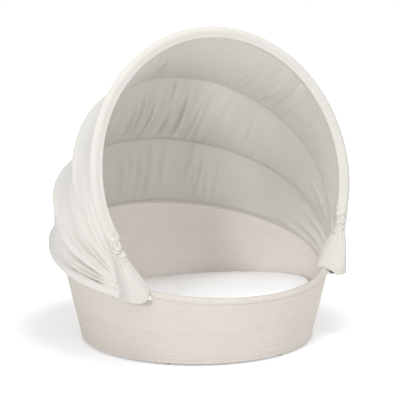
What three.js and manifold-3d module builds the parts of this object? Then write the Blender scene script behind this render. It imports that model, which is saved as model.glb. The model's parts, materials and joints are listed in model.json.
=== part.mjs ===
// Round outdoor daybed: a flared wicker tub, a seat cushion and a folding fabric canopy on three pivoting hoops.
// Millimetres, +Z up, front of the seat facing -Y.
import * as THREE from "three";
import { mergeVertices } from "three/addons/utils/BufferGeometryUtils.js";
import Module from "manifold-3d";

const wasm = await Module();
wasm.setup();

// Tub
const baseRadius = 700; // outer radius at floor level
const wallFlare = 0.231; // radius gained per unit of height
const frontRimHeight = 400;
const backRimHeight = 710;
const rimRiseShape = 1.17; // higher keeps the rim low for longer before it climbs
const wallThickness = 50;
const weaveThickness = 8;
const tubSteps = 60;
const floorGap = 14; // wicker hangs this far above the floor

// Frame inside the wall
const frameTubeRadius = 12;
const baseRingHeight = 44;
const uprightCount = 8;
const uprightRadius = 10;
const frameTubeSides = 8;
const ringSteps = 32;

// Feet
const footCount = 6;
const footRadius = 22;
const footTopRadius = 18;
const footSoleHeight = 10;
const footSides = 16;

// Seat deck and cushion
const seatTilt = 0.127; // the seat falls this much per unit of depth towards the back
const deckHeight = 176; // top of the slats at the tub's axis
const slatCount = 7;
const slatWidth = 88;
const slatThickness = 18;
const slatEdgeInset = 162; // first and last slat's middle, from the deck ring
const deckRingRadius = 10;
const cushionThickness = 120;
const cushionCrown = 16;
const cushionSideGap = 18;
const cushionSideDraw = 7; // depth of the drawn-in waist between the two rounded edges
const cushionEdgeRound = 42;
const cushionSteps = 36;

// Hinge
const hingeDegrees = 53; // degrees from the front
const hingeDrop = 6; // pivot below the rim's top
const hingeReach = 36; // from the wall's outer face to the front hoop's lug
const lugPitch = 26;
const lugThickness = 8;
const lugRadius = 17;
const boltRadius = 5;
const boltHeadRadius = 10;
const boltHeadThickness = 7;
const boltGrip = 26; // length of bolt inside the bracket
const spacerRadius = 9;
const bracketRadius = 24;
const bracketDrop = 40;
const bracketReach = 46; // how far its foot runs forward of the pivot
const bracketDepth = 110;
const hingeSides = 16;
const bracketArcSteps = 10;

// Hoops: lean back from vertical in degrees, width at the widest point, height of the top above the pivot
const hoopTubeRadius = 11;
const hoopTubeSides = 8;
const hoopStraight = 50; // straight end above the pivot
const hoopShoulder = 598; // height of the widest point
const lugHalfWidth = 13;
const frontLeanDegrees = 13.3;
const middleLeanDegrees = 36.2;
const rearLeanDegrees = 59.7;
const canopySpread = 173; // front hoop's widest point, beyond its lug
const middleNarrowing = 7; // middle hoop's widest point, inside the front hoop's
const rearWidening = 19; // rear hoop's widest point, outside the front hoop's
const canopyReach = 1447;
const middleShortening = 61;
const rearShortening = 77;
const archStepDegrees = 6; // degrees between stations on the arch

// Rear rail round the outside of the rim
const railRadius = 10;
const railOffset = 45; // from the wall's outer face to the rail's centre
const railDrop = 20; // rail's centre below the rim
const railStartDegrees = 66; // degrees from the front
const clipWidth = 16;
const clipClearance = 0.9; // room for the rail's slope and curve across the clip
const clipHeight = 24;
const clipDegrees = [108, 180, 252];

// Fabric
const clothThickness = 3;
const clothGap = 0.6; // cloth to tube, measured at the tube's crown
const seamGap = 1.5; // each panel stops this far short of the hoop's plane
const sleeveHalfWidth = 36;
const sleeveInset = 8; // how far the sleeve's middle lies inside the hoop where it is full
const neckHalfWidth = 24;
const sleeveStart = 224; // height of the sleeve's gathered end above the pivot
const sleeveFull = 330; // height where the sleeve reaches its full width
const sleeveWall = 4;
const sleeveSetback = 6; // cloth starts this far inside the sleeve's edge
const coverStandoff = 1.6; // cloth to the sleeve's back
const panelSag = 28;
const sagSpan = 300; // panels narrower than this sag less
const foldDepth = 9;
const foldCount = 9;
const skirtDrop = 50;
const skirtFlare = 6;
const bootTopHeight = 206; // top of the boot above the pivot, along the front hoop
const bootTopRadius = 21;
const bootBottomDrop = 46; // bottom of the boot below the pivot
const bootInward = 112;
const bootOutward = 86;
const bootForward = 92;
const bootBackward = 104;
const bootSteps = 24;
const bootWall = 4;

// Clearances
const clearance = 0.3;
const boreClearance = 0.5;
const cutOverrun = 60;

const radians = THREE.MathUtils.degToRad;
const halfTurn = Math.PI;
const fullTurn = 2 * Math.PI;
const flatShare = Math.cos(halfTurn / frameTubeSides); // flat of a tube's section, as a share of its radius
const railFrom = radians(railStartDegrees);
const railTo = fullTurn - railFrom;
const railSteps = Math.round((tubSteps * (railTo - railFrom)) / fullTurn);

// Tub shape: azimuth 0 is the front, a quarter turn is the right side
const rimHeight = (azimuth) =>
  frontRimHeight + (backRimHeight - frontRimHeight) * ((1 - Math.cos(azimuth)) / 2) ** rimRiseShape;
const outerRadius = (z) => baseRadius + wallFlare * z;
const around = (azimuth, radius, z) => new THREE.Vector3(radius * Math.sin(azimuth), -radius * Math.cos(azimuth), z);
const deckTop = (y) => deckHeight - seatTilt * y;

// The canopy's pivot axis crosses the wall just under the rim
const hingeAzimuth = radians(hingeDegrees);
const pivotZ = rimHeight(hingeAzimuth) - hingeDrop;
const pivotY = -outerRadius(pivotZ) * Math.cos(hingeAzimuth);
const hingeOffset = outerRadius(pivotZ) * Math.sin(hingeAzimuth) + hingeReach;

// Skins a row of sections that all have the same number of points into one closed solid. The second half of
// a section runs back along the first, and its diagonals mirror the first half's, so that a thin sheet keeps
// its thickness.
function loft(sections, closed = false) {
  const count = sections[0].length;
  const positions = sections.flat().flatMap((point) => [point.x, point.y, point.z]);
  const faces = [];
  const rows = closed ? sections.length : sections.length - 1;
  for (let row = 0; row < rows; row++) {
    const next = (row + 1) % sections.length;
    for (let i = 0; i < count; i++) {
      const j = (i + 1) % count;
      const [a, b, c, d] = [row * count + i, row * count + j, next * count + j, next * count + i];
      if (i < count / 2) faces.push(a, b, c, a, c, d);
      else faces.push(a, b, d, b, c, d);
    }
  }
  if (!closed) {
    const last = (sections.length - 1) * count;
    for (let i = 0; i < count / 2 - 1; i++) {
      const [a, b, c, d] = [i, i + 1, count - 2 - i, count - 1 - i];
      faces.push(a, d, b);
      faces.push(b, d, c);
      faces.push(last + a, last + b, last + d);
      faces.push(last + b, last + c, last + d);
    }
  }
  const kept = [];
  for (let i = 0; i < faces.length; i += 3) {
    const corners = [0, 1, 2].map((k) => new THREE.Vector3().fromArray(positions, 3 * faces[i + k]));
    const [ab, ac] = [corners[1].clone().sub(corners[0]), corners[2].clone().sub(corners[0])];
    if (ab.cross(ac).lengthSq() > 0) kept.push(faces[i], faces[i + 1], faces[i + 2]);
  }
  const geometry = new THREE.BufferGeometry();
  geometry.setAttribute("position", new THREE.Float32BufferAttribute(positions, 3));
  geometry.setIndex(kept);
  return outwards(geometry);
}

// Turns every face round if the solid came out inside out
function outwards(geometry) {
  const position = geometry.getAttribute("position");
  const index = geometry.getIndex().array;
  const corner = (i) => new THREE.Vector3().fromBufferAttribute(position, index[i]);
  let volume = 0;
  for (let i = 0; i < index.length; i += 3) volume += corner(i).dot(corner(i + 1).cross(corner(i + 2)));
  if (volume < 0) geometry.setIndex(Array.from(index).reverse());
  return geometry;
}

function solid(geometry) {
  const bare = geometry.clone();
  bare.deleteAttribute("normal");
  bare.deleteAttribute("uv");
  const merged = mergeVertices(bare);
  return new wasm.Manifold(
    new wasm.Mesh({
      numProp: 3,
      vertProperties: merged.getAttribute("position").array,
      triVerts: new Uint32Array(merged.getIndex().array),
    }),
  );
}

function geometryOf(body) {
  const mesh = body.getMesh();
  const geometry = new THREE.BufferGeometry();
  geometry.setAttribute("position", new THREE.BufferAttribute(Float32Array.from(mesh.vertProperties), 3));
  geometry.setIndex(Array.from(mesh.triVerts));
  return geometry;
}

// A rod between two points
function rod(start, end, radius, sides = frameTubeSides) {
  const length = start.distanceTo(end);
  const geometry = new THREE.CylinderGeometry(radius, radius, length, sides);
  const turn = new THREE.Quaternion().setFromUnitVectors(
    new THREE.Vector3(0, 1, 0),
    end.clone().sub(start).normalize(),
  );
  geometry.applyQuaternion(turn);
  const middle = start.clone().lerp(end, 0.5);
  return geometry.translate(middle.x, middle.y, middle.z);
}

// A closed band round the tub's axis: profileAt gives [radius, height] pairs for each azimuth
function band(steps, profileAt) {
  const sections = [];
  for (let step = 0; step < steps; step++) {
    const azimuth = (fullTurn * step) / steps;
    sections.push(profileAt(azimuth).map(([radius, z]) => around(azimuth, radius, z)));
  }
  return loft(sections, true);
}

// A round tube round the tub's axis, whose centre is at radiusAt and heightAt
function tubeBand(steps, radiusAt, heightAt, radius, from = 0, to = fullTurn) {
  const whole = to - from >= fullTurn;
  const sections = [];
  for (let step = 0; step < steps + (whole ? 0 : 1); step++) {
    const azimuth = from + ((to - from) * step) / steps;
    const section = [];
    for (let side = 0; side < frameTubeSides; side++) {
      const turn = (fullTurn * (side + 0.5)) / frameTubeSides;
      const reach = radiusAt(azimuth) + radius * Math.cos(turn);
      section.push(around(azimuth, reach, heightAt(azimuth) + radius * Math.sin(turn)));
    }
    sections.push(section);
  }
  return loft(sections, whole);
}

const materials = {
  wicker: new THREE.MeshStandardMaterial({ color: 0xd8cdc2, roughness: 0.7, metalness: 0 }),
  aluminium: new THREE.MeshStandardMaterial({ color: 0xb9b7b2, roughness: 0.45, metalness: 0.8 }),
  steel: new THREE.MeshStandardMaterial({ color: 0xc9cacc, roughness: 0.3, metalness: 1 }),
  glide: new THREE.MeshStandardMaterial({ color: 0xa39b91, roughness: 0.6, metalness: 0 }),
  deck: new THREE.MeshStandardMaterial({ color: 0xa99a86, roughness: 0.7, metalness: 0 }),
  cushion: new THREE.MeshStandardMaterial({ color: 0xf4f4f2, roughness: 0.9, metalness: 0 }),
  canopy: new THREE.MeshStandardMaterial({ color: 0xe4dfd6, roughness: 0.9, metalness: 0 }),
  spacer: new THREE.MeshStandardMaterial({ color: 0xe7e5df, roughness: 0.5, metalness: 0 }),
};

const daybed = new THREE.Group();

function add(name, geometry, material) {
  const mesh = new THREE.Mesh(geometry, material);
  mesh.name = name;
  daybed.add(mesh);
  return mesh;
}

// Wicker skins, and the braid that closes the gap between them over the rim tube
const rimRadius = wallThickness / 2;
const rimCentreHeight = (azimuth) => rimHeight(azimuth) - rimRadius;
const rimCentreRadius = (azimuth) => outerRadius(rimCentreHeight(azimuth)) - rimRadius;
const skinRows = 3;

function skin(bottomAt, inset) {
  return band(tubSteps, (azimuth) => {
    const bottom = bottomAt(azimuth);
    const top = rimCentreHeight(azimuth) - clearance;
    const rise = (top - bottom) / skinRows;
    const heights = Array.from({ length: skinRows + 1 }, (_, row) => bottom + rise * row);
    const outer = heights.map((z) => [outerRadius(z) - inset, z]);
    const inner = heights.map((z) => [outerRadius(z) - inset - weaveThickness, z]).reverse();
    return [...outer, ...inner];
  });
}

function rimBraid() {
  const arcSteps = 6;
  return band(tubSteps, (azimuth) => {
    const arc = (radius) =>
      Array.from({ length: arcSteps + 1 }, (_, i) => {
        const turn = (halfTurn * i) / arcSteps;
        return [
          rimCentreRadius(azimuth) + radius * Math.cos(turn),
          rimCentreHeight(azimuth) + radius * Math.sin(turn),
        ];
      });
    return [...arc(rimRadius), ...arc(frameTubeRadius + clearance).reverse()];
  });
}

// Height at which the tilted deck meets a skin set in from the wall's outer face
function deckMeets(azimuth, inset) {
  const fall = seatTilt * Math.cos(azimuth);
  return (deckHeight + fall * (baseRadius - inset)) / (1 - fall * wallFlare);
}

const innerSkinBottom = (azimuth) =>
  clearance + Math.max(deckMeets(azimuth, wallThickness), deckMeets(azimuth, wallThickness - weaveThickness));

function tub() {
  add("outer_weave", skin(() => floorGap, 0), materials.wicker);
  add("inner_weave", skin(innerSkinBottom, wallThickness - weaveThickness), materials.wicker);
  add("rim_braid", rimBraid(), materials.wicker);
}

// Aluminium frame inside the wall
const wallMiddle = (z) => outerRadius(z) - rimRadius;
const deckAngle = Math.atan(seatTilt);
const slatRise = slatThickness / Math.cos(deckAngle); // slat's thickness measured straight up
const deckRingInset = rimRadius + uprightRadius + deckRingRadius + 2 * clearance;
const deckRingHeight = (azimuth) =>
  deckMeets(azimuth, deckRingInset) - slatRise - deckRingRadius - 2 * clearance;

// The rim tube's lowest point over the width of an upright
function uprightTop(azimuth) {
  const halfAngle = uprightRadius / rimCentreRadius(azimuth);
  const centre = Math.min(rimCentreHeight(azimuth - halfAngle), rimCentreHeight(azimuth + halfAngle));
  return centre - frameTubeRadius - clearance;
}

function frame() {
  const baseRing = tubeBand(ringSteps, () => wallMiddle(baseRingHeight), () => baseRingHeight, frameTubeRadius);
  add("base_ring", baseRing, materials.aluminium);
  const rimTube = tubeBand(tubSteps, rimCentreRadius, rimCentreHeight, frameTubeRadius - clearance);
  add("rim_tube", rimTube, materials.aluminium);
  for (let i = 0; i < uprightCount; i++) {
    const azimuth = (fullTurn * (i + 0.5)) / uprightCount;
    const footSlope = uprightRadius * wallFlare;
    const bottom = baseRingHeight + frameTubeRadius * flatShare + footSlope + clearance;
    const top = uprightTop(azimuth);
    add(
      `upright_${i + 1}`,
      rod(around(azimuth, wallMiddle(bottom), bottom), around(azimuth, wallMiddle(top), top), uprightRadius),
      materials.aluminium,
    );
  }
  const deckRingReach = (azimuth) => outerRadius(deckRingHeight(azimuth)) - deckRingInset;
  add("deck_ring", tubeBand(ringSteps, deckRingReach, deckRingHeight, deckRingRadius), materials.aluminium);
}

// Slats across the deck ring, each tilted with the seat
function deck() {
  const seatRadius = outerRadius(deckHeight) - rimRadius - uprightRadius - deckRingRadius;
  const slatPitch = (2 * (seatRadius - slatEdgeInset)) / (slatCount - 1);
  for (let i = 0; i < slatCount; i++) {
    const y = (i - (slatCount - 1) / 2) * slatPitch;
    const nearEdge = Math.abs(y) + slatWidth / 2;
    const reach = outerRadius(deckTop(y)) - outerRadius(deckHeight) + seatRadius;
    const length = 2 * Math.sqrt(reach ** 2 - nearEdge ** 2);
    const slat = new THREE.BoxGeometry(length, slatWidth, slatThickness);
    const mesh = add(`deck_slat_${i + 1}`, slat, materials.deck);
    mesh.rotation.x = -deckAngle;
    mesh.position.set(0, y, deckTop(y) - slatRise / 2);
  }
}

function feet() {
  for (let i = 0; i < footCount; i++) {
    const azimuth = (fullTurn * (i + 0.25)) / footCount;
    const top = baseRingHeight - frameTubeRadius * flatShare - clearance;
    const centre = outerRadius(floorGap) - weaveThickness - clearance - footRadius;
    const profile = [
      new THREE.Vector2(0, 0),
      new THREE.Vector2(footRadius, 0),
      new THREE.Vector2(footRadius, footSoleHeight),
      new THREE.Vector2(footTopRadius, top),
      new THREE.Vector2(0, top),
    ];
    const foot = new THREE.LatheGeometry(profile, footSides).rotateX(Math.PI / 2);
    const mesh = add(`foot_${i + 1}`, foot, materials.glide);
    mesh.position.copy(around(azimuth, centre, 0));
  }
}

// Round seat cushion: flat base, crowned top, rounded edges and a drawn-in side
function cushion() {
  const middleHeight = deckHeight + cushionThickness / 2;
  const radius = outerRadius(middleHeight) - wallThickness - cushionSideGap;
  const forward = wallFlare * seatTilt * radius;
  const round = cushionEdgeRound;
  const edge = (height, turn, side) => [
    radius - round + round * Math.cos(turn),
    height + side * round * Math.sin(turn),
  ];
  const quarterShares = [0, 1 / 3, 2 / 3, 1];
  const quarter = quarterShares.map((share) => (halfTurn / 2) * share);
  const lower = quarter.map((turn) => edge(round, turn, -1)).reverse();
  const upper = quarter.map((turn) => edge(cushionThickness - round, turn, 1));
  const waist = [[radius - cushionSideDraw, cushionThickness / 2]];
  const crownShares = [0.75, 0.45, 0.15];
  const crown = crownShares.map((share) => [
    (radius - round) * share,
    cushionThickness + cushionCrown * (1 - share ** 2),
  ]);
  const profile = [[0, 0], ...lower, ...waist, ...upper, ...crown, [0, cushionThickness + cushionCrown]];
  const lathe = new THREE.LatheGeometry(profile.map(([r, h]) => new THREE.Vector2(r, h)), cushionSteps);
  const mesh = add("seat_cushion", lathe.rotateX(Math.PI / 2), materials.cushion);
  mesh.rotation.x = -deckAngle;
  mesh.position.set(0, -forward, deckTop(-forward) + clearance);
}

// Hoops
const hoopOf = (name, order, lean, spread, reach) => ({
  name,
  lean: radians(lean),
  halfSpan: hingeOffset + order * lugPitch,
  halfWidth: hingeOffset + spread,
  reach,
});
const frontHoop = hoopOf("front_hoop", 0, frontLeanDegrees, canopySpread, canopyReach);
const middleSpread = canopySpread - middleNarrowing;
const middleHoop = hoopOf("middle_hoop", 1, middleLeanDegrees, middleSpread, canopyReach - middleShortening);
const rearSpread = canopySpread + rearWidening;
const rearHoop = hoopOf("rear_hoop", 2, rearLeanDegrees, rearSpread, canopyReach - rearShortening);

// A point by its place in the hoop's own plane: across, up from the pivot, and back from the plane
function onHoop(hoop, x, height, back = 0) {
  return new THREE.Vector3(
    x,
    pivotY + height * Math.sin(hoop.lean) + back * Math.cos(hoop.lean),
    pivotZ + height * Math.cos(hoop.lean) - back * Math.sin(hoop.lean),
  );
}

// Stations along the right half of a hoop, from its lug to its top: place and outward direction in its plane
const legShares = [0.11, 0.215, 0.33, 0.49, 0.65, 0.82, 1];

function halfStations(hoop) {
  const stations = [
    { x: hoop.halfSpan, height: 0 },
    { x: hoop.halfSpan, height: hoopStraight / 2 },
    { x: hoop.halfSpan, height: hoopStraight },
  ];
  for (const share of legShares) {
    stations.push({
      x: hoop.halfSpan + (hoop.halfWidth - hoop.halfSpan) * Math.sin((halfTurn / 2) * share),
      height: hoopStraight + (hoopShoulder - hoopStraight) * share,
    });
  }
  for (let angle = archStepDegrees; angle <= 90; angle += archStepDegrees) {
    stations.push({
      x: angle < 90 ? hoop.halfWidth * Math.cos(radians(angle)) : 0,
      height: hoopShoulder + (hoop.reach - hoopShoulder) * Math.sin(radians(angle)),
    });
  }
  return stations;
}

function stationsOf(hoop) {
  const right = halfStations(hoop);
  const left = right.slice(0, -1).reverse().map(({ x, height }) => ({ x: -x, height }));
  const all = [...right, ...left];
  return all.map((station, i) => {
    const before = all[Math.max(i - 1, 0)];
    const after = all[Math.min(i + 1, all.length - 1)];
    const along = new THREE.Vector2(after.x - before.x, after.height - before.height).normalize();
    return { ...station, out: new THREE.Vector2(along.y, -along.x) };
  });
}

// Sections of a tube along the hoop, flattened to a lug at each end
function hoopSections(hoop, extra = 0) {
  return stationsOf(hoop).map(({ x, height, out }) => {
    const flat = THREE.MathUtils.smoothstep(height, hoopStraight, 2 * hoopStraight);
    const thick = THREE.MathUtils.lerp(lugThickness / 2, hoopTubeRadius, flat) + extra;
    const wide = THREE.MathUtils.lerp(lugHalfWidth, hoopTubeRadius, flat) + extra;
    return Array.from({ length: hoopTubeSides }, (_, side) => {
      const turn = (fullTurn * (side + 0.5)) / hoopTubeSides;
      const reach = thick * Math.cos(turn);
      return onHoop(hoop, x + reach * out.x, height + reach * out.y, wide * Math.sin(turn));
    });
  });
}

function alongX(radius, x, length) {
  const cylinder = new THREE.CylinderGeometry(radius, radius, length, hingeSides);
  return cylinder.rotateZ(halfTurn / 2).translate(x, pivotY, pivotZ);
}

function hoopMesh(hoop) {
  let body = solid(loft(hoopSections(hoop)));
  for (const side of [-1, 1]) {
    const x = side * hoop.halfSpan;
    body = body.add(solid(alongX(lugRadius, x, lugThickness)));
  }
  for (const side of [-1, 1]) {
    const x = side * hoop.halfSpan;
    body = body.subtract(solid(alongX(boltRadius + boreClearance, x, lugThickness + cutOverrun)));
  }
  add(hoop.name, geometryOf(body), materials.aluminium);
}

// Hinge hardware on both sides, and the cone that keeps it clear of the wall
const wallEnvelope = () => {
  const heights = [-cutOverrun, backRimHeight];
  const rings = heights.map((z) =>
    Array.from({ length: tubSteps }, (_, step) =>
      around((fullTurn * step) / tubSteps, outerRadius(z) + clearance, z),
    ),
  );
  return solid(loft(rings));
};

function hinges() {
  const wall = wallEnvelope();
  const bracketFace = hingeOffset - lugThickness / 2 - clearance;
  for (const [side, word] of [[1, "right"], [-1, "left"]]) {
    const outline = new THREE.Shape();
    outline.moveTo(bracketRadius, 0);
    outline.absarc(0, 0, bracketRadius, 0, halfTurn, false);
    outline.lineTo(-bracketReach, -bracketDrop);
    outline.lineTo(bracketRadius, -bracketDrop);
    const plate = new THREE.ExtrudeGeometry(outline, {
      depth: bracketDepth,
      bevelEnabled: false,
      curveSegments: bracketArcSteps,
    });
    // The outline's x runs back along the tub and its y runs up
    plate.rotateX(halfTurn / 2).rotateZ(halfTurn / 2);
    plate.translate(side > 0 ? bracketFace - bracketDepth : -bracketFace, pivotY, pivotZ);
    const hole = solid(alongX(boltRadius + boreClearance, side * bracketFace, 2 * bracketDepth));
    add(`hinge_bracket_${word}`, geometryOf(solid(plate).subtract(wall).subtract(hole)), materials.aluminium);

    const boltTip = bracketFace - boltGrip;
    const boltShoulder = hingeOffset + 2 * lugPitch + lugThickness / 2 + clearance;
    const headMiddle = boltShoulder + boltHeadThickness / 2;
    const shank = solid(alongX(boltRadius, (side * (boltTip + headMiddle)) / 2, headMiddle - boltTip));
    const head = solid(alongX(boltHeadRadius, side * headMiddle, boltHeadThickness));
    add(`pivot_bolt_${word}`, geometryOf(shank.add(head)), materials.steel);

    for (const order of [0, 1]) {
      const middle = hingeOffset + (order + 0.5) * lugPitch;
      const length = lugPitch - lugThickness - 2 * clearance;
      const spacer = solid(alongX(spacerRadius, side * middle, length));
      const bore = solid(alongX(boltRadius + boreClearance, side * middle, length + cutOverrun));
      add(`hinge_spacer_${word}_${order + 1}`, geometryOf(spacer.subtract(bore)), materials.spacer);
    }
  }
}

// Rear rail and its clips
const railRadiusAt = (azimuth) => outerRadius(rimHeight(azimuth) - railDrop) + railOffset;
const railHeightAt = (azimuth) => rimHeight(azimuth) - railDrop;

function rail() {
  const tube = tubeBand(railSteps, railRadiusAt, railHeightAt, railRadius, railFrom, railTo);
  add("rear_rail", tube, materials.aluminium);
  clipDegrees.forEach((degrees, i) => {
    const azimuth = radians(degrees);
    const wallFace = outerRadius(rimCentreHeight(azimuth)) + 2 * clearance;
    const railFace = railRadiusAt(azimuth) - railRadius * flatShare - clipClearance;
    const length = railFace - wallFace;
    const block = new THREE.BoxGeometry(clipWidth, length, clipHeight);
    const mesh = add(`rail_clip_${i + 1}`, block, materials.glide);
    mesh.position.copy(around(azimuth, (wallFace + railFace) / 2, railHeightAt(azimuth)));
    mesh.rotation.z = azimuth + halfTurn;
  });
}

// Fabric sheets are lofted from their two long edges, sagging and folding a little in between
function shareAlong(points) {
  const lengths = [0];
  for (let i = 1; i < points.length; i++) lengths.push(lengths[i - 1] + points[i].distanceTo(points[i - 1]));
  return lengths.map((length) => length / lengths.at(-1));
}

const acrossShares = [0, 0.3, 0.6, 1];

function sheet(first, second, inwardAt) {
  const shares = shareAlong(first);
  const grid = first.map((start, i) => {
    const inward = inwardAt(i);
    const fold = Math.sin(fullTurn * foldCount * shares[i]) * Math.sin(halfTurn * shares[i]);
    const narrowing = Math.min(start.distanceTo(second[i]) / sagSpan, 1) ** 2;
    return acrossShares.map((across) => {
      const slack = Math.sin(halfTurn * across) * narrowing * (panelSag + foldDepth * fold);
      return start.clone().lerp(second[i], across).addScaledVector(inward, slack);
    });
  });
  // The cloth's thickness lies along the surface's own normal, on its inner side
  const normalAt = (i, j) => {
    const [before, after] = [grid[Math.max(i - 1, 0)], grid[Math.min(i + 1, grid.length - 1)]];
    const [left, right] = [grid[i][Math.max(j - 1, 0)], grid[i][Math.min(j + 1, acrossShares.length - 1)]];
    return after[j].clone().sub(before[j]).cross(right.clone().sub(left)).normalize();
  };
  const crown = Math.floor(grid.length / 2);
  const depth = Math.sign(normalAt(crown, 1).dot(inwardAt(crown))) * clothThickness;
  const sections = grid.map((row, i) => {
    const inner = row.map((point, j) => point.clone().addScaledVector(normalAt(i, j), depth));
    return [...row, ...inner.reverse()];
  });
  return loft(sections);
}

const sleeveOpened = (height) => THREE.MathUtils.smoothstep(height, sleeveStart, sleeveFull);
const sleeveWidthAt = (height) => THREE.MathUtils.lerp(neckHalfWidth, sleeveHalfWidth, sleeveOpened(height));
const sleeveMiddleAt = (height) => -sleeveInset * sleeveOpened(height);
const sleeveHalfDepth = hoopTubeRadius + boreClearance + sleeveWall;

// One long edge of a panel where it meets a hoop: outside or inside it, in front of it or behind it
function hoopEdge(hoop, lowest, outside, back) {
  return stationsOf(hoop)
    .filter(({ height }) => height >= lowest)
    .map(({ x, height, out }) => {
      const cover = hoopTubeRadius + clothGap + clothThickness;
      // A lining that runs back from a hoop starts further in, to clear the hoop's leg
      const lining = hoopTubeRadius + (back > 0 ? clearance : 0);
      const tube = outside > 0 ? cover : lining;
      const sleeved = outside * (sleeveWidthAt(height) - sleeveSetback) + sleeveMiddleAt(height);
      const place = hoop === frontHoop ? sleeved : outside * tube;
      return onHoop(hoop, x + place * out.x, height + place * out.y, back);
    });
}

function inwardBetween(first, second, lowest) {
  const stations = [first, second].map((hoop) => stationsOf(hoop).filter(({ height }) => height >= lowest));
  return (i) => {
    const outs = [first, second].map((hoop, k) => {
      const { out } = stations[k][i];
      return onHoop(hoop, out.x, out.y).sub(onHoop(hoop, 0, 0));
    });
    return outs[0].add(outs[1]).normalize().negate();
  };
}

// Halfway between two stations of a leg, so that panels start at the upper one
const betweenStations = (below) =>
  hoopStraight + ((hoopShoulder - hoopStraight) * (legShares[below] + legShares[below + 1])) / 2;
const highStart = betweenStations(1);
const lowStart = betweenStations(0);

function canopy() {
  const pairs = [
    ["front", frontHoop, middleHoop, highStart, sleeveHalfDepth + coverStandoff],
    ["middle", middleHoop, rearHoop, lowStart, seamGap],
  ];
  for (const [word, first, second, lowest, start] of pairs) {
    const inward = inwardBetween(first, second, lowest);
    for (const [kind, outside] of [["cover", 1], ["lining", -1]]) {
      const geometry = sheet(
        hoopEdge(first, lowest, outside, start),
        hoopEdge(second, lowest, outside, -seamGap),
        inward,
      );
      add(`${kind}_${word}`, geometry, materials.canopy);
    }
  }
  rearPanels();
  sleeve();
}

// The rear panels run from the rear hoop down to the rail, and on the inside to the rim
function rearPanels() {
  const top = hoopEdge(rearHoop, lowStart, 1, seamGap);
  const shares = shareAlong(top);
  const azimuths = shares.map((share) => THREE.MathUtils.lerp(railFrom, railTo, share));
  // The cloth's thickness lies on a slant here, so it takes up less height than on the flat
  const lift = clothGap + clothThickness * Math.SQRT1_2;
  const atRail = azimuths.map((azimuth) =>
    around(azimuth, railRadiusAt(azimuth), railHeightAt(azimuth) + railRadius * flatShare + lift),
  );
  const outward = (i) => around(azimuths[i], 1, 0).add(new THREE.Vector3(0, 0, 1)).normalize().negate();
  add("cover_rear", sheet(top, atRail, outward), materials.canopy);

  const inner = hoopEdge(rearHoop, lowStart, -1, seamGap);
  const atRim = azimuths.map((azimuth) =>
    around(azimuth, rimCentreRadius(azimuth), rimHeight(azimuth) + lift),
  );
  add("lining_rear", sheet(inner, atRim, outward), materials.canopy);
  add("rear_skirt", skirt(), materials.canopy);
}

// A short skirt hangs close outside the rail and flares below it
function skirt() {
  const dropAndFlareShares = [
    [0, 0],
    [0.5, 0],
    [1, 1],
  ];
  const sections = [];
  for (let step = 0; step <= railSteps; step++) {
    const azimuth = THREE.MathUtils.lerp(railFrom, railTo, step / railSteps);
    const radius = railRadiusAt(azimuth) + railRadius * flatShare + clearance;
    const top = railHeightAt(azimuth) + railRadius;
    const outer = dropAndFlareShares.map(([drop, flare]) => [
      radius + clothThickness + skirtFlare * flare,
      top - skirtDrop * drop,
    ]);
    const inner = outer.map(([r, z]) => [r - clothThickness, z]).reverse();
    sections.push([...outer, ...inner].map(([r, z]) => around(azimuth, r, z)));
  }
  return loft(sections);
}

// Flat padded sleeve round the front hoop, gathered at both ends
function sleeve() {
  const cornerShares = [
    [1, 0.45],
    [0.8, 1],
    [-0.8, 1],
    [-1, 0.45],
    [-1, -0.45],
    [-0.8, -1],
    [0.8, -1],
    [1, -0.45],
  ];
  const stations = stationsOf(frontHoop).filter(({ height }) => height >= sleeveStart);
  const shell = (width, depth) =>
    stations.map((station) =>
      cornerShares.map(([w, d]) => {
        const place = w * width(station.height) + sleeveMiddleAt(station.height);
        const [x, height] = [station.x + place * station.out.x, station.height + place * station.out.y];
        return onHoop(frontHoop, x, height, d * depth);
      }),
    );
  const outer = shell(sleeveWidthAt, sleeveHalfDepth);
  const inner = shell((height) => sleeveWidthAt(height) - sleeveWall, sleeveHalfDepth - sleeveWall);
  add("front_sleeve", openTube(outer, inner), materials.canopy);
}

// A tube with walls and open ends, from its outer and inner sections
function openTube(outer, inner) {
  const rings = outer[0].map((_, side) => [
    ...outer.map((section) => section[side]),
    ...inner.map((section) => section[side]).reverse(),
  ]);
  return loft(rings, true);
}

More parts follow.
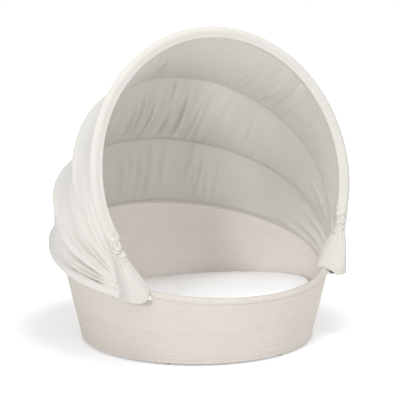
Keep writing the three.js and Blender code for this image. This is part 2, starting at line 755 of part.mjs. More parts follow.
// Fabric boots over the hinges, straddling the rim, gathered round the front hoop at the top
function boots() {
  const wallRing = solid(
    band(tubSteps, (azimuth) => {
      const top = rimHeight(azimuth) + clothGap;
      return [
        [outerRadius(-cutOverrun) + clothGap, -cutOverrun],
        [outerRadius(top) + clothGap, top],
        [outerRadius(top) - wallThickness - clothGap, top],
        [outerRadius(-cutOverrun) - wallThickness - clothGap, -cutOverrun],
      ];
    }),
  );
  const legs = [middleHoop, rearHoop].map((hoop) => solid(loft(hoopSections(hoop, clothGap))));
  const levelShares = [0, 0.34, 0.67, 1];
  const neck = stationAt(frontHoop, bootTopHeight);
  for (const [side, word] of [[1, "right"], [-1, "left"]]) {
    const top = onHoop(frontHoop, neck.x, bootTopHeight);
    const bottom = new THREE.Vector3(hingeOffset, pivotY, pivotZ - bootBottomDrop);
    const wallAt = (inset) => {
      const rings = [];
      for (let step = 0; step < bootSteps; step++) {
        const turn = (fullTurn * step) / bootSteps;
        const [c, s] = [Math.cos(turn), Math.sin(turn)];
        rings.push(
          levelShares.map((level) => {
            const centre = bottom.clone().lerp(top, level);
            const rx = THREE.MathUtils.lerp(c > 0 ? bootOutward : bootInward, bootTopRadius, level) - inset;
            const ry = THREE.MathUtils.lerp(s > 0 ? bootBackward : bootForward, bootTopRadius, level) - inset;
            return new THREE.Vector3(side * (centre.x + rx * c), centre.y + ry * s, centre.z);
          }),
        );
      }
      return rings;
    };
    const [outer, inner] = [wallAt(0), wallAt(bootWall)];
    const shell = solid(loft(outer.map((ring, i) => [...ring, ...inner[i].slice().reverse()]), true));
    const body = legs.reduce((left, leg) => left.subtract(leg), shell.subtract(wallRing));
    const pieces = body.decompose().sort((a, b) => b.volume() - a.volume());
    add(`hinge_boot_${word}`, geometryOf(pieces[0]), materials.canopy);
  }
}

function stationAt(hoop, height) {
  const share = (height - hoopStraight) / (hoopShoulder - hoopStraight);
  return { x: hoop.halfSpan + (hoop.halfWidth - hoop.halfSpan) * Math.sin((halfTurn / 2) * share), height };
}

tub();
frame();
deck();
feet();
cushion();
[frontHoop, middleHoop, rearHoop].forEach(hoopMesh);
hinges();
rail();
canopy();
boots();

// The origin is on the floor, under the middle of the whole daybed
const box = new THREE.Box3().setFromObject(daybed);
daybed.position.y = -(box.min.y + box.max.y) / 2;

export default daybed;
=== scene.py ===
import json
import math

import bpy
import numpy as np
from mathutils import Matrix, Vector
from mathutils.bvhtree import BVHTree

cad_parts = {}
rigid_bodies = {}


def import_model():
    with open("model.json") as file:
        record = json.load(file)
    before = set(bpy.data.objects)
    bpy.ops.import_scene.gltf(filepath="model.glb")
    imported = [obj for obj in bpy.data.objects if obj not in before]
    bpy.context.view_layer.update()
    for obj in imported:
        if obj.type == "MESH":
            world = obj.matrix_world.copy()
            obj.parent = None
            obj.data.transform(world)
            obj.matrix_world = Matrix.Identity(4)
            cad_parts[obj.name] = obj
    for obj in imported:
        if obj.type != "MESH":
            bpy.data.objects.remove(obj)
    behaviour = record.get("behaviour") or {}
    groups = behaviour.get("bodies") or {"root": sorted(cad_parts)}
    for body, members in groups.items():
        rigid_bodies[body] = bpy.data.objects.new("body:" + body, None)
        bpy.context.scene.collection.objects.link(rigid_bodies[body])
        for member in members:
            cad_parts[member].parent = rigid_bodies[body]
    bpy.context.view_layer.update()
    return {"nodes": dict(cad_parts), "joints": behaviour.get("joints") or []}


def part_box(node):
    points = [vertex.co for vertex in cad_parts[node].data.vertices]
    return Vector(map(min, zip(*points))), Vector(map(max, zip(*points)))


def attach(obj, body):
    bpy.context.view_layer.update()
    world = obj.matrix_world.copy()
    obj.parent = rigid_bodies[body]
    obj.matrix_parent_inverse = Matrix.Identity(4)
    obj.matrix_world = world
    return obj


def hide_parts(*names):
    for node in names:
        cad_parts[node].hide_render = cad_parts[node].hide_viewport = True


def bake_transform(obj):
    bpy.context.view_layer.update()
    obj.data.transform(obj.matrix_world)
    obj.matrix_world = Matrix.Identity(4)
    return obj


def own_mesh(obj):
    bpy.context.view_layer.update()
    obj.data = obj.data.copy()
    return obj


# Start from an empty scene, so that only the frame is measured
for startup_object in list(bpy.data.objects):
    bpy.data.objects.remove(startup_object)

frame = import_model()

# Tub, in metres, as in the CAD
BASE_RADIUS = 0.700
WALL_FLARE = 0.231
FRONT_RIM = 0.400
BACK_RIM = 0.710
RIM_RISE_SHAPE = 1.17
WALL = 0.050
RIM_RADIUS = WALL / 2
FLOOR_GAP = 0.014
SEAT_TILT = 0.127
DECK_HEIGHT = 0.176
AXIS_Y = (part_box("base_ring")[0].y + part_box("base_ring")[1].y) / 2

# Canopy hoops, in metres and radians
PIVOT_Y, PIVOT_Z = frame["joints"][0]["pos_m"][1:]
PIVOT = np.array([0, PIVOT_Y, PIVOT_Z])
HINGE_OFFSET = 0.676386
LUG_PITCH = 0.026
HOOP_STRAIGHT = 0.050
HOOP_SHOULDER = 0.598
HOOP_TUBE = 0.011


class Hoop:
    """A canopy hoop: its body, lean from vertical, half span at the pivot, half width and reach."""

    def __init__(self, body, order, lean_degrees, spread, reach):
        self.body = body
        self.lean = math.radians(lean_degrees)
        self.span = HINGE_OFFSET + order * LUG_PITCH
        self.width = HINGE_OFFSET + spread
        self.reach = reach
        self.normal = np.array([0, math.cos(self.lean), -math.sin(self.lean)])
        self.up = np.array([0, math.sin(self.lean), math.cos(self.lean)])


FRONT = Hoop("front_hoop_body", 0, 13.3, 0.173, 1.447)
MIDDLE = Hoop("middle_hoop_body", 1, 36.2, 0.166, 1.386)
REAR = Hoop("rear_hoop_body", 2, 59.7, 0.192, 1.370)

# Rear rail
RAIL_OFFSET = 0.045
RAIL_DROP = 0.020
RAIL_START = math.radians(66)
RAIL_RADIUS = 0.010

TAU = 2 * math.pi
rng = np.random.default_rng(7)


def rim_height(azimuth):
    return FRONT_RIM + (BACK_RIM - FRONT_RIM) * ((1 - np.cos(azimuth)) / 2) ** RIM_RISE_SHAPE


def outer_radius(z):
    return BASE_RADIUS + WALL_FLARE * z


def around(azimuth, radius, z):
    """Points round the tub's axis; azimuth 0 is the front and a quarter turn the right side."""
    azimuth, radius, z = np.broadcast_arrays(azimuth, radius, z)
    return np.stack([radius * np.sin(azimuth), AXIS_Y - radius * np.cos(azimuth), z], axis=-1)


def smoothstep(x, low, high):
    t = np.clip((x - low) / (high - low), 0, 1)
    return t * t * (3 - 2 * t)


def even_turn(count):
    """Angles evenly round a full turn, without its end."""
    return TAU * np.arange(count) / count


def waves(turn, table):
    """The sum of a table of waves: how many, how large and their phase."""
    return sum(size * np.sin(count * turn + phase) for count, size, phase in table)


def roll(azimuth, centre_r, centre_z, radius, across):
    """A roll round the tub, from the centre of its section and its radius at each angle across."""
    return around(azimuth[:, None], centre_r + radius * np.cos(across), centre_z + radius * np.sin(across))


def unit(v):
    return v / np.maximum(np.linalg.norm(v, axis=-1, keepdims=True), 1e-12)


# Meshes

def link(name, data):
    obj = bpy.data.objects.new(name, data)
    bpy.context.scene.collection.objects.link(obj)
    return obj


def new_mesh(name, points, quads, material, **attributes):
    mesh = bpy.data.meshes.new(name)
    mesh.vertices.add(len(points))
    mesh.vertices.foreach_set("co", np.asarray(points, np.float32).ravel())
    mesh.loops.add(quads.size)
    mesh.loops.foreach_set("vertex_index", quads.astype(np.int32).ravel())
    mesh.polygons.add(len(quads))
    mesh.polygons.foreach_set("loop_start", np.arange(0, quads.size, quads.shape[1], dtype=np.int32))
    mesh.polygons.foreach_set("use_smooth", np.ones(len(quads), bool))
    for key, values in attributes.items():
        layer = mesh.attributes.new(key, "FLOAT", "POINT")
        layer.data.foreach_set("value", np.asarray(values, np.float32).ravel())
    mesh.update(calc_edges=True)
    mesh.validate()
    mesh.materials.append(material)
    return link(name, mesh)


def grid_quads(rows, cols, closed_rows=False, closed_cols=False):
    r = np.arange(rows if closed_rows else rows - 1)
    c = np.arange(cols if closed_cols else cols - 1)
    r, c = np.meshgrid(r, c, indexing="ij")
    r2, c2 = (r + 1) % rows, (c + 1) % cols
    quads = np.stack([r * cols + c, r * cols + c2, r2 * cols + c2, r2 * cols + c], axis=-1)
    return quads.reshape(-1, 4)


def grid_mesh(name, grid, material, closed_rows=False, closed_cols=False, flip=False, **attributes):
    rows, cols = grid.shape[:2]
    quads = grid_quads(rows, cols, closed_rows, closed_cols)
    if flip:
        quads = quads[:, ::-1]
    return new_mesh(name, grid.reshape(-1, 3), quads, material, **attributes)


def solidify(obj, thickness):
    """Thickens a sheet to both sides."""
    modifier = obj.modifiers.new("thickness", "SOLIDIFY")
    modifier.thickness = thickness
    modifier.offset = 0.0


def grid_normals(grid):
    along = np.gradient(grid, axis=0)
    across = np.gradient(grid, axis=1)
    return unit(np.cross(along, across))


# Materials

def set_inputs(inputs, values):
    for key, value in values.items():
        inputs[key.replace("_", " ")].default_value = value


def material(name, color, **values):
    """A principled material; returns it with its node tree and shader."""
    made = bpy.data.materials.new(name)
    made.use_nodes = True
    shader = made.node_tree.nodes["Principled BSDF"]
    shader.inputs["Base Color"].default_value = (*color, 1)
    set_inputs(shader.inputs, values)
    return made, made.node_tree, shader


def node(tree, kind, attributes=None, **values):
    """A node with its own attributes and the values of its inputs set."""
    made = tree.nodes.new(kind)
    for key, value in (attributes or {}).items():
        setattr(made, key, value)
    set_inputs(made.inputs, values)
    return made


def mixed_color(tree, factor, dark, light):
    ramp = node(tree, "ShaderNodeValToRGB")
    ramp.color_ramp.elements[0].color = (*dark, 1)
    ramp.color_ramp.elements[1].color = (*light, 1)
    tree.links.new(factor, ramp.inputs["Fac"])
    return ramp.outputs["Color"]


def bump(tree, shader, height, strength, distance, below=None):
    made = node(tree, "ShaderNodeBump", Strength=strength, Distance=distance)
    tree.links.new(height, made.inputs["Height"])
    if below is not None:
        tree.links.new(below, made.inputs["Normal"])
    tree.links.new(made.outputs["Normal"], shader.inputs["Normal"])
    return made.outputs["Normal"]


def math_node(tree, operation, *values):
    made = node(tree, "ShaderNodeMath", {"operation": operation})
    for i, value in enumerate(values):
        if isinstance(value, (int, float)):
            made.inputs[i].default_value = value
        else:
            tree.links.new(value, made.inputs[i])
    return made.outputs["Value"]


def object_place(tree):
    return node(tree, "ShaderNodeTexCoord").outputs["Object"]


def attribute(tree, name):
    return node(tree, "ShaderNodeAttribute", {"attribute_name": name}).outputs["Fac"]


def noise(tree, place, **values):
    made = node(tree, "ShaderNodeTexNoise", **values)
    tree.links.new(place, made.inputs["Vector"])
    return made.outputs["Fac"]


def between_shades(tree, shader, factor, color, shares):
    """Colours a shader between two shares of one colour."""
    shades = [tuple(channel * share for channel in color) for share in shares]
    tree.links.new(mixed_color(tree, factor, *shades), shader.inputs["Base Color"])


THREAD = 0.0012


def canvas(name, dark, light):
    """Woven cloth: uneven dye, a fine plain weave and soft wrinkles."""
    made, tree, shader = material(
        name, light, Roughness=0.92, Sheen_Weight=0.15, Sheen_Roughness=0.6, Specular_IOR_Level=0.25
    )
    place = object_place(tree)
    dye = noise(tree, place, Scale=3.5, Detail=4.0, Roughness=0.55)
    tree.links.new(mixed_color(tree, dye, dark, light), shader.inputs["Base Color"])
    warp, weft = (
        math_node(tree, "SINE", math_node(tree, "MULTIPLY", attribute(tree, key), math.pi / THREAD))
        for key in ("along", "across")
    )
    woven = bump(tree, shader, math_node(tree, "MULTIPLY", warp, weft), strength=0.25, distance=0.0002)
    wrinkles = noise(tree, place, Scale=55.0, Detail=3.0, Roughness=0.6)
    bump(tree, shader, wrinkles, strength=0.12, distance=0.002, below=woven)
    return made


TINT_SHARE = 0.06  # how much a strand's own tint and the blotches change its brightness
BLOTCH_SHARE = 0.08


def wicker_material(name, dark, light):
    """Extruded strands: each its own tint, with painted shade down between its neighbours."""
    made, tree, shader = material(name, light, Roughness=0.55, Specular_IOR_Level=0.35)
    place = object_place(tree)
    # The lift ramp paints shade: dark down in the grooves, light on the crests.
    grooves = mixed_color(tree, attribute(tree, "lift"), dark, light)
    blotches = noise(tree, place, Scale=6.0, Detail=3.0)
    shade = math_node(tree, "MULTIPLY_ADD", attribute(tree, "tint"), TINT_SHARE, 1 - TINT_SHARE)
    cloud = math_node(tree, "MULTIPLY_ADD", blotches, BLOTCH_SHARE, 1 - BLOTCH_SHARE / 2)
    scale = node(tree, "ShaderNodeVectorMath", {"operation": "SCALE"})
    tree.links.new(grooves, scale.inputs[0])
    tree.links.new(math_node(tree, "MULTIPLY", shade, cloud), scale.inputs["Scale"])
    tree.links.new(scale.outputs["Vector"], shader.inputs["Base Color"])
    grain = noise(tree, place, Scale=420.0, Detail=2.0)
    bump(tree, shader, grain, strength=0.2, distance=0.0004)
    return made


METAL_SHADES = 0.86, 1.0
ROUGHNESS_SPREAD = 0.25
ROUGHNESS_BELOW = 0.1
PLASTIC_SHADES = 0.8, 1.1


def metal_material(name, color, roughness, scratch):
    made, tree, shader = material(name, color, Roughness=roughness, Metallic=1.0)
    grain = noise(tree, object_place(tree), Scale=scratch, Detail=6.0, Roughness=0.65)
    between_shades(tree, shader, grain, color, METAL_SHADES)
    rough = math_node(tree, "MULTIPLY_ADD", grain, ROUGHNESS_SPREAD, roughness - ROUGHNESS_BELOW)
    tree.links.new(rough, shader.inputs["Roughness"])
    bump(tree, shader, grain, strength=0.08, distance=0.0006)
    return made


def plastic_material(name, color, roughness):
    made, tree, shader = material(name, color, Roughness=roughness)
    grain = noise(tree, object_place(tree), Scale=180.0, Detail=3.0)
    between_shades(tree, shader, grain, color, PLASTIC_SHADES)
    bump(tree, shader, grain, strength=0.15, distance=0.0005)
    return made


def wood_material(name, dark, middle, light):
    """Oiled hardwood, its grain along x, as the slats run."""
    made, tree, shader = material(name, middle, Roughness=0.5)
    stretch = node(tree, "ShaderNodeMapping", Scale=(0.6, 14.0, 14.0))
    tree.links.new(object_place(tree), stretch.inputs["Vector"])
    grain = noise(tree, stretch.outputs["Vector"], Scale=5.0, Detail=8.0, Roughness=0.6, Distortion=0.6)
    tree.links.new(mixed_color(tree, grain, dark, light), shader.inputs["Base Color"])
    bump(tree, shader, grain, strength=0.2, distance=0.001)
    return made


WICKER = wicker_material("wicker_strand", (0.61, 0.56, 0.51), (0.90, 0.85, 0.80))
# A lighter copy of the wicker: painted light on the inner wall
INNER_WICKER = wicker_material("inner_wicker_strand", (0.74, 0.69, 0.645), (0.98, 0.94, 0.90))
# A darker copy of the wicker: painted shade, holding the rim down under the top lamp
RIM_WICKER = wicker_material("rim_wicker_strand", (0.52, 0.475, 0.43), (0.77, 0.725, 0.68))
COVER = canvas("cover_canvas", (0.74, 0.72, 0.68), (0.80, 0.78, 0.74))
# The lining is the cover's cloth made darker: painted shade inside the canopy
LINING = canvas("lining_cloth", (0.60, 0.58, 0.54), (0.67, 0.65, 0.61))
# The band is the cover's cloth made darker: painted shade against the top lamp
BAND = canvas("band_canvas", (0.61, 0.595, 0.555), (0.67, 0.655, 0.615))
# The boots are the cover's cloth made darker: painted shade over the hinges
BOOT = canvas("boot_canvas", (0.61, 0.585, 0.55), (0.67, 0.645, 0.61))
CUSHION = canvas("cushion_cloth", (0.93, 0.93, 0.94), (0.96, 0.96, 0.965))
FRAME_METAL = metal_material("coated_tube", (0.66, 0.65, 0.63), roughness=0.45, scratch=60.0)
HOOP_METAL = metal_material("satin_tube", (0.72, 0.71, 0.70), roughness=0.35, scratch=90.0)
STEEL = metal_material("stainless", (0.70, 0.70, 0.71), roughness=0.28, scratch=140.0)
GLIDE = plastic_material("glide_plastic", (0.55, 0.51, 0.47), roughness=0.5)
NYLON = plastic_material("nylon", (0.74, 0.73, 0.70), roughness=0.45)
WOOD = wood_material("slat_wood", (0.30, 0.20, 0.12), (0.50, 0.38, 0.26), (0.60, 0.46, 0.32))


# Camera: fitted to the tub rim, the base and the canopy in the photograph
TARGET = Vector((0.0168, AXIS_Y - 0.0100, 0.8283))
VIEW_AZIMUTH = math.radians(30.77)
VIEW_ELEVATION = math.radians(9.74)
CAMERA_DISTANCE = 7.996
LENS = 119.06
SENSOR_WIDTH = 36.0
CLIP_END = 150.0


def make_camera():
    data = bpy.data.cameras.new("camera")
    data.lens = LENS
    data.sensor_width = SENSOR_WIDTH
    data.clip_end = CLIP_END
    camera = link("camera", data)
    back = Vector((
        -math.sin(VIEW_AZIMUTH) * math.cos(VIEW_ELEVATION),
        -math.cos(VIEW_AZIMUTH) * math.cos(VIEW_ELEVATION),
        math.sin(VIEW_ELEVATION),
    ))
    camera.location = TARGET + back * CAMERA_DISTANCE
    camera.rotation_euler = (-back).to_track_quat("-Z", "Y").to_euler()
    bpy.context.scene.camera = camera


# Stage and light
FLOOR_REACH = 120.0
FLOOR_COLOR = 0.80, 0.80, 0.80
FLOOR_GLOW = 0.34
FAR_GLOW = 0.80
SHADED_REACH = 0.95  # from the tub's axis, in metres
WHITE_REACH = 1.9
SKY_STRENGTH = 0.60


def camera_rays(tree):
    """1 for rays that see the background as such, from the camera or in a reflection."""
    paths = node(tree, "ShaderNodeLightPath").outputs
    seen = math_node(tree, "MAXIMUM", paths["Is Camera Ray"], paths["Is Glossy Ray"])
    return math_node(tree, "MAXIMUM", seen, paths["Is Transmission Ray"])


def make_stage():
    """A pale floor that glows to the camera, more so far off: it reads white and keeps the shadow."""
    made, tree, shader = material(
        "floor", FLOOR_COLOR, Roughness=1.0, Specular_IOR_Level=0.0, Emission_Color=(1, 1, 1, 1)
    )
    distance = node(tree, "ShaderNodeVectorMath", {"operation": "LENGTH"})
    tree.links.new(object_place(tree), distance.inputs[0])
    spread = node(
        tree, "ShaderNodeMapRange", {"interpolation_type": "SMOOTHSTEP"},
        From_Min=SHADED_REACH, From_Max=WHITE_REACH, To_Min=FLOOR_GLOW, To_Max=FAR_GLOW,
    )
    tree.links.new(distance.outputs["Value"], spread.inputs["Value"])
    glow = math_node(tree, "MULTIPLY", camera_rays(tree), spread.outputs["Result"])
    tree.links.new(glow, shader.inputs["Emission Strength"])
    side = FLOOR_REACH / 2
    corners = np.array([[-side, -side, 0], [side, -side, 0], [side, side, 0], [-side, side, 0]])
    floor = new_mesh("floor", corners, np.array([[0, 1, 2, 3]]), made)


def make_world():
    world = bpy.data.worlds.new("studio")
    bpy.context.scene.world = world
    world.use_nodes = True
    tree = world.node_tree
    background = tree.nodes["Background"]
    background.inputs["Color"].default_value = (1, 1, 1, 1)
    strength = math_node(tree, "MULTIPLY_ADD", camera_rays(tree), 1 - SKY_STRENGTH, SKY_STRENGTH)
    tree.links.new(strength, background.inputs["Strength"])


def area_light(name, place, target, size, power):
    data = bpy.data.lights.new(name, "AREA")
    data.shape = "DISK"
    data.size = size
    data.energy = power
    light = link(name, data)
    light.location = place
    light.rotation_euler = (Vector(target) - Vector(place)).to_track_quat("-Z", "Y").to_euler()


def make_lights():
    area_light("key", (-5.2, -3.4, 2.1), (0.4, 0.1, 0.9), size=1.2, power=118)
    area_light("top", (-0.2, -1.9, 5.9), (0, -0.3, 0.4), size=2.2, power=112)
    area_light("fill", (1.8, -5.4, 2.2), (-0.2, 0.3, 0.6), size=1.6, power=66)


# Tub
WARP_PITCH = 0.0130  # at floor level
WEFT_PITCH = 0.0070
WARP_STEPS = 3
WEAVE_DEPTH = 0.0012
GROOVE_LIFT = -0.75  # between the strands, as a share of the weave's depth; it also sets the painted shade there
WALL_SECTIONS = 4
WARPS = round(TAU * BASE_RADIUS / WARP_PITCH / 8) * 8


def deck_meets(azimuth):
    """How high the inner wall starts, on the tilted deck."""
    fall = SEAT_TILT * np.cos(azimuth)
    return (DECK_HEIGHT + fall * (BASE_RADIUS - WALL)) / (1 - fall * WALL_FLARE)


def weave_wall(name, inset, outward, bottom_at, first_warp, last_warp, strands):
    """A stretch of woven wall: every strand is a real ridge that runs over one warp and under the next."""
    cols = (last_warp - first_warp) * WARP_STEPS + 1
    u = first_warp + np.arange(cols) / WARP_STEPS
    azimuth = TAU * u / WARPS
    top = rim_height(azimuth) - RIM_RADIUS
    steps = np.arange(math.ceil(BACK_RIM / WEFT_PITCH * 2) + 1)
    v = steps / 2
    z = v * WEFT_PITCH
    row = np.floor(v)
    lift = np.where(steps % 2 > 0, np.cos(math.pi * (u[:, None] + row)), GROOVE_LIFT)
    grid = around(azimuth[:, None], outer_radius(z) - inset + outward * lift * WEAVE_DEPTH, z)
    strand_tint = np.tile(rng.random(len(row)), (cols, 1))
    quads = grid_quads(cols, len(v))
    inside = (z >= bottom_at(azimuth)[:, None]) & (z <= top[:, None] + WEFT_PITCH / 2)
    quads = quads[inside.reshape(-1)[quads].all(axis=1)]
    used, index = np.unique(quads, return_inverse=True)
    quads = index.reshape(quads.shape)
    if outward < 0:
        quads = quads[:, ::-1]
    # lift is passed on as the painted shade of the grooves; tint is each strand's own tone
    lift, tint = (values.reshape(-1)[used] for values in ((lift + 1) / 2, strand_tint))
    return new_mesh(name, grid.reshape(-1, 3)[used], quads, strands, lift=lift, tint=tint)


def make_walls():
    ends = [WARPS * i // WALL_SECTIONS for i in range(WALL_SECTIONS + 1)]
    walls = (
        ("woven_wall", 0, 1, lambda azimuth: np.full_like(azimuth, FLOOR_GAP), WICKER, "outer_weave"),
        ("woven_lining_wall", WALL, -1, deck_meets, INNER_WICKER, "inner_weave"),
    )
    for i in range(WALL_SECTIONS):
        for name, inset, outward, bottom_at, strands, replaced in walls:
            wall = weave_wall(f"{name}_{i + 1}", inset, outward, bottom_at, ends[i], ends[i + 1], strands)
            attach(wall, "tub")
            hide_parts(replaced)


RIM_WRAP_PITCH = 0.0085
RIM_WRAP_DEPTH = 0.0010
RIM_WRAP_STEPS = 3
RIM_WRAP_SLANT = 0.8
RIM_WRAPS = round(TAU * outer_radius(FRONT_RIM) / RIM_WRAP_PITCH)
RIM_SIDES = 16
RIM_ARC = -0.32, 1.32  # in half turns, from the outer face over the top to the inner face
RIM_CLEAR = 0.0004
RIM_GROOVE_SHADE = 0.30  # painted shade between its strands
# How much lighter the crests are than the painted shade between the strands
RIM_SHADE_SPREAD = 0.18


def make_rim():
    """The rolled rim: strands wound side by side round the edge."""
    cols = RIM_WRAPS * RIM_WRAP_STEPS
    azimuth = even_turn(cols)
    across = np.linspace(*RIM_ARC, RIM_SIDES) * math.pi
    centre_z = rim_height(azimuth)[:, None] - RIM_RADIUS
    centre_r = outer_radius(centre_z) - RIM_RADIUS
    phase = np.arange(cols)[:, None] / RIM_WRAP_STEPS + across[None, :] / math.pi * RIM_WRAP_SLANT
    wave = np.cos(TAU * phase)
    radius = RIM_RADIUS + RIM_CLEAR + wave * RIM_WRAP_DEPTH
    grid = roll(azimuth, centre_r, centre_z, radius, across)
    tint = rng.random(RIM_WRAPS)[(np.floor(phase).astype(int)) % RIM_WRAPS]
    # Painted shade: darker between the wound strands, lighter on their crests
    lift = RIM_GROOVE_SHADE + RIM_SHADE_SPREAD * (wave + 1)
    rim = grid_mesh("rolled_rim", grid, RIM_WICKER, closed_rows=True, lift=lift, tint=tint)
    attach(rim, "tub")
    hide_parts("rim_braid")


# Twisted border strand along the foot of the wall
BORDER_RADIUS = 0.0055
BORDER_TWIST = 0.0012
BORDER_INSET = 0.004
BORDER_RISE = 0.003
BORDER_SIDES = 8


def make_foot_border():
    cols = RIM_WRAPS * RIM_WRAP_STEPS
    across = even_turn(BORDER_SIDES)
    wave = np.cos(TAU * (np.arange(cols)[:, None] / RIM_WRAP_STEPS + across[None, :] / TAU))
    radius = BORDER_RADIUS + BORDER_TWIST * wave
    centre_r = outer_radius(FLOOR_GAP) - BORDER_INSET
    grid = roll(even_turn(cols), centre_r, FLOOR_GAP + BORDER_RISE, radius, across)
    tint = np.full(wave.shape, 0.5)
    # lift paints shade between the twists of the border strand
    border = grid_mesh("foot_border", grid, WICKER, True, True, flip=True, lift=(wave + 1) / 2, tint=tint)
    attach(border, "tub")


# Cushion
CUSHION_THICKNESS = 0.120
CUSHION_CROWN = 0.016
CUSHION_GAP = 0.018
CUSHION_EDGE = 0.034
CUSHION_PULL = 0.006
CUSHION_CLEAR = 0.0003
CUSHION_COLS = 288
EDGE_STEPS = 8
TOP_STEPS = 36
CUSHION_RADIUS = outer_radius(DECK_HEIGHT + CUSHION_THICKNESS / 2) - WALL - CUSHION_GAP
SIDE_SHARES = 0.2, 0.35, 0.5, 0.65, 0.8
# Shares of the thickness or of the radius where the top, its edge and its broad middle start and are full
UPPER_SHARES = 0.3, 1.0
NEAR_EDGE_SHARES = 0.80, 0.97
BROAD_SHARES = 0.15, 0.6
# How many round the cushion, how large and their phase
PUCKERS = (23, 0.0010, 0.4), (37, 0.0007, 2.1), (61, 0.0005, 4.0)
SWAYS = (3, 0.0015, 0.8), (5, 0.0010, 2.2)
WELT_RADIUS = 0.0042
WELT_INSET = 0.005
WELT_SHARE = 0.62  # of the rounded edge
WELT_COLS = 360
WELT_SIDES = 8


def on_seat(radius, height, angle):
    """Points on the tilted deck, from a radius and a height in the cushion's own frame."""
    tilt = math.atan(SEAT_TILT)
    forward = WALL_FLARE * SEAT_TILT * CUSHION_RADIUS
    base = DECK_HEIGHT + SEAT_TILT * forward + CUSHION_CLEAR
    x = radius * np.sin(angle)[:, None]
    y = -radius * np.cos(angle)[:, None]
    points = np.stack([
        x,
        AXIS_Y - forward + y * math.cos(tilt) + height * math.sin(tilt),
        base - y * math.sin(tilt) + height * math.cos(tilt),
    ], axis=-1)
    return points, {"along": x, "across": y}


def cushion_profile():
    """Radius and height from the middle of the underside, round the edge, to the middle of the top."""
    radius, thickness, edge = CUSHION_RADIUS, CUSHION_THICKNESS, CUSHION_EDGE
    turns = np.linspace(0, math.pi / 2, EDGE_STEPS)
    inner = np.linspace(0.0, 1.0, TOP_STEPS)[1:-1]
    flat = radius - edge
    side = thickness - 2 * edge
    profile = [(0.0, 0.0)] + [(flat * s, 0.0) for s in inner[::4]]
    profile += [(flat + edge * math.sin(t), edge * (1 - math.cos(t))) for t in turns]
    profile += [(radius - CUSHION_PULL * math.sin(math.pi * s), edge + side * s) for s in SIDE_SHARES]
    profile += [(flat + edge * math.cos(t), thickness - edge * (1 - math.sin(t))) for t in turns]
    profile += [(flat * s, thickness + CUSHION_CROWN * (1 - s**2)) for s in inner[::-1]]
    profile += [(0.0, thickness + CUSHION_CROWN)]
    return np.array(profile)


def make_cushion():
    """Boxed round cushion with a crowned top, a drawn-in side and welted edges."""
    profile = cushion_profile()
    angle = even_turn(CUSHION_COLS)
    r, h = (np.tile(profile[:, i], (CUSHION_COLS, 1)) for i in (0, 1))
    upper = smoothstep(h / CUSHION_THICKNESS, *UPPER_SHARES)
    near_edge = smoothstep(r / CUSHION_RADIUS, *NEAR_EDGE_SHARES) * upper
    broad = smoothstep(r / CUSHION_RADIUS, *BROAD_SHARES) * upper
    h = h + waves(angle, PUCKERS)[:, None] * near_edge + waves(angle, SWAYS)[:, None] * broad
    points, attributes = on_seat(r, h, angle)
    cushion = grid_mesh("round_cushion", points, CUSHION, True, flip=True, **attributes)
    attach(cushion, "tub")
    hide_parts("seat_cushion")
    welt("cushion_welt_top", CUSHION_THICKNESS - CUSHION_EDGE * WELT_SHARE)
    welt("cushion_welt_bottom", CUSHION_EDGE * WELT_SHARE)


def welt(name, height):
    angle = even_turn(WELT_COLS)
    section = even_turn(WELT_SIDES)[None, :] * np.ones((WELT_COLS, 1))
    r = CUSHION_RADIUS - WELT_INSET + WELT_RADIUS * np.cos(section)
    points, attributes = on_seat(r, height + WELT_RADIUS * np.sin(section), angle)
    made = grid_mesh(name, points, CUSHION, True, True, flip=True, **attributes)
    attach(made, "tub")


# Canopy
LEG_STEPS = 200
ARCH_STEPS = 300


def on_hoop(hoop, x, height, back=0.0):
    x, height, back = np.broadcast_arrays(x, height, back)
    place = PIVOT + height[..., None] * hoop.up + back[..., None] * hoop.normal
    place[..., 0] = x
    return place


def hoop_line(hoop, lowest, count):
    """Even points along a hoop, right to left: across, up, the outward direction and the length."""
    leg = np.linspace(0, 1, LEG_STEPS)
    arch = np.linspace(0, math.pi / 2, ARCH_STEPS)[1:]
    x = np.r_[
        hoop.span,
        hoop.span + (hoop.width - hoop.span) * np.sin(math.pi / 2 * leg),
        hoop.width * np.cos(arch),
    ]
    h = np.r_[
        0.0,
        HOOP_STRAIGHT + (HOOP_SHOULDER - HOOP_STRAIGHT) * leg,
        HOOP_SHOULDER + (hoop.reach - HOOP_SHOULDER) * np.sin(arch),
    ]
    first = np.interp(lowest, h, x)
    keep = h > lowest
    x, h = np.r_[first, x[keep]], np.r_[lowest, h[keep]]
    x, h = np.r_[x, -x[-2::-1]], np.r_[h, h[-2::-1]]
    length = np.r_[0, np.cumsum(np.hypot(np.diff(x), np.diff(h)))]
    even = np.linspace(0, length[-1], count)
    x, h = np.interp(even, length, x), np.interp(even, length, h)
    along = unit(np.stack([np.gradient(x), np.gradient(h)], axis=-1))
    return x, h, along[:, 1], -along[:, 0], length[-1]


PANEL_ROWS = 561
PANEL_COLS = 40
HEM_COLS = 9
SHEET_THICKNESS = 0.0016
COVER_PLACE = HOOP_TUBE + 0.0018
LINING_PLACE = HOOP_TUBE + 0.0012
LOW = 0.085  # height above the pivot where the panels start, inside the boots
CANOPY_CENTRE = np.array([0, AXIS_Y, 0.5])


def hoop_edge(hoop, lowest, place, back):
    x, h, out_x, out_h, _ = hoop_line(hoop, lowest, PANEL_ROWS)
    return on_hoop(hoop, x + place * out_x, h + place * out_h, back)


def step_lengths(points, axis):
    return np.linalg.norm(np.diff(points, axis=axis), axis=-1)


def outward_normals(panel):
    """Normals, away from the tub, of the straight surface between a panel's two long edges."""
    rows, cols = panel.shape[:2]
    t = np.linspace(0, 1, cols)[None, :, None]
    normals = grid_normals(panel[:, :1] * (1 - t) + panel[:, -1:] * t)
    middle = rows // 2, cols // 2
    if normals[middle] @ (panel[middle] - CANOPY_CENTRE) < 0:
        normals = -normals
    return normals


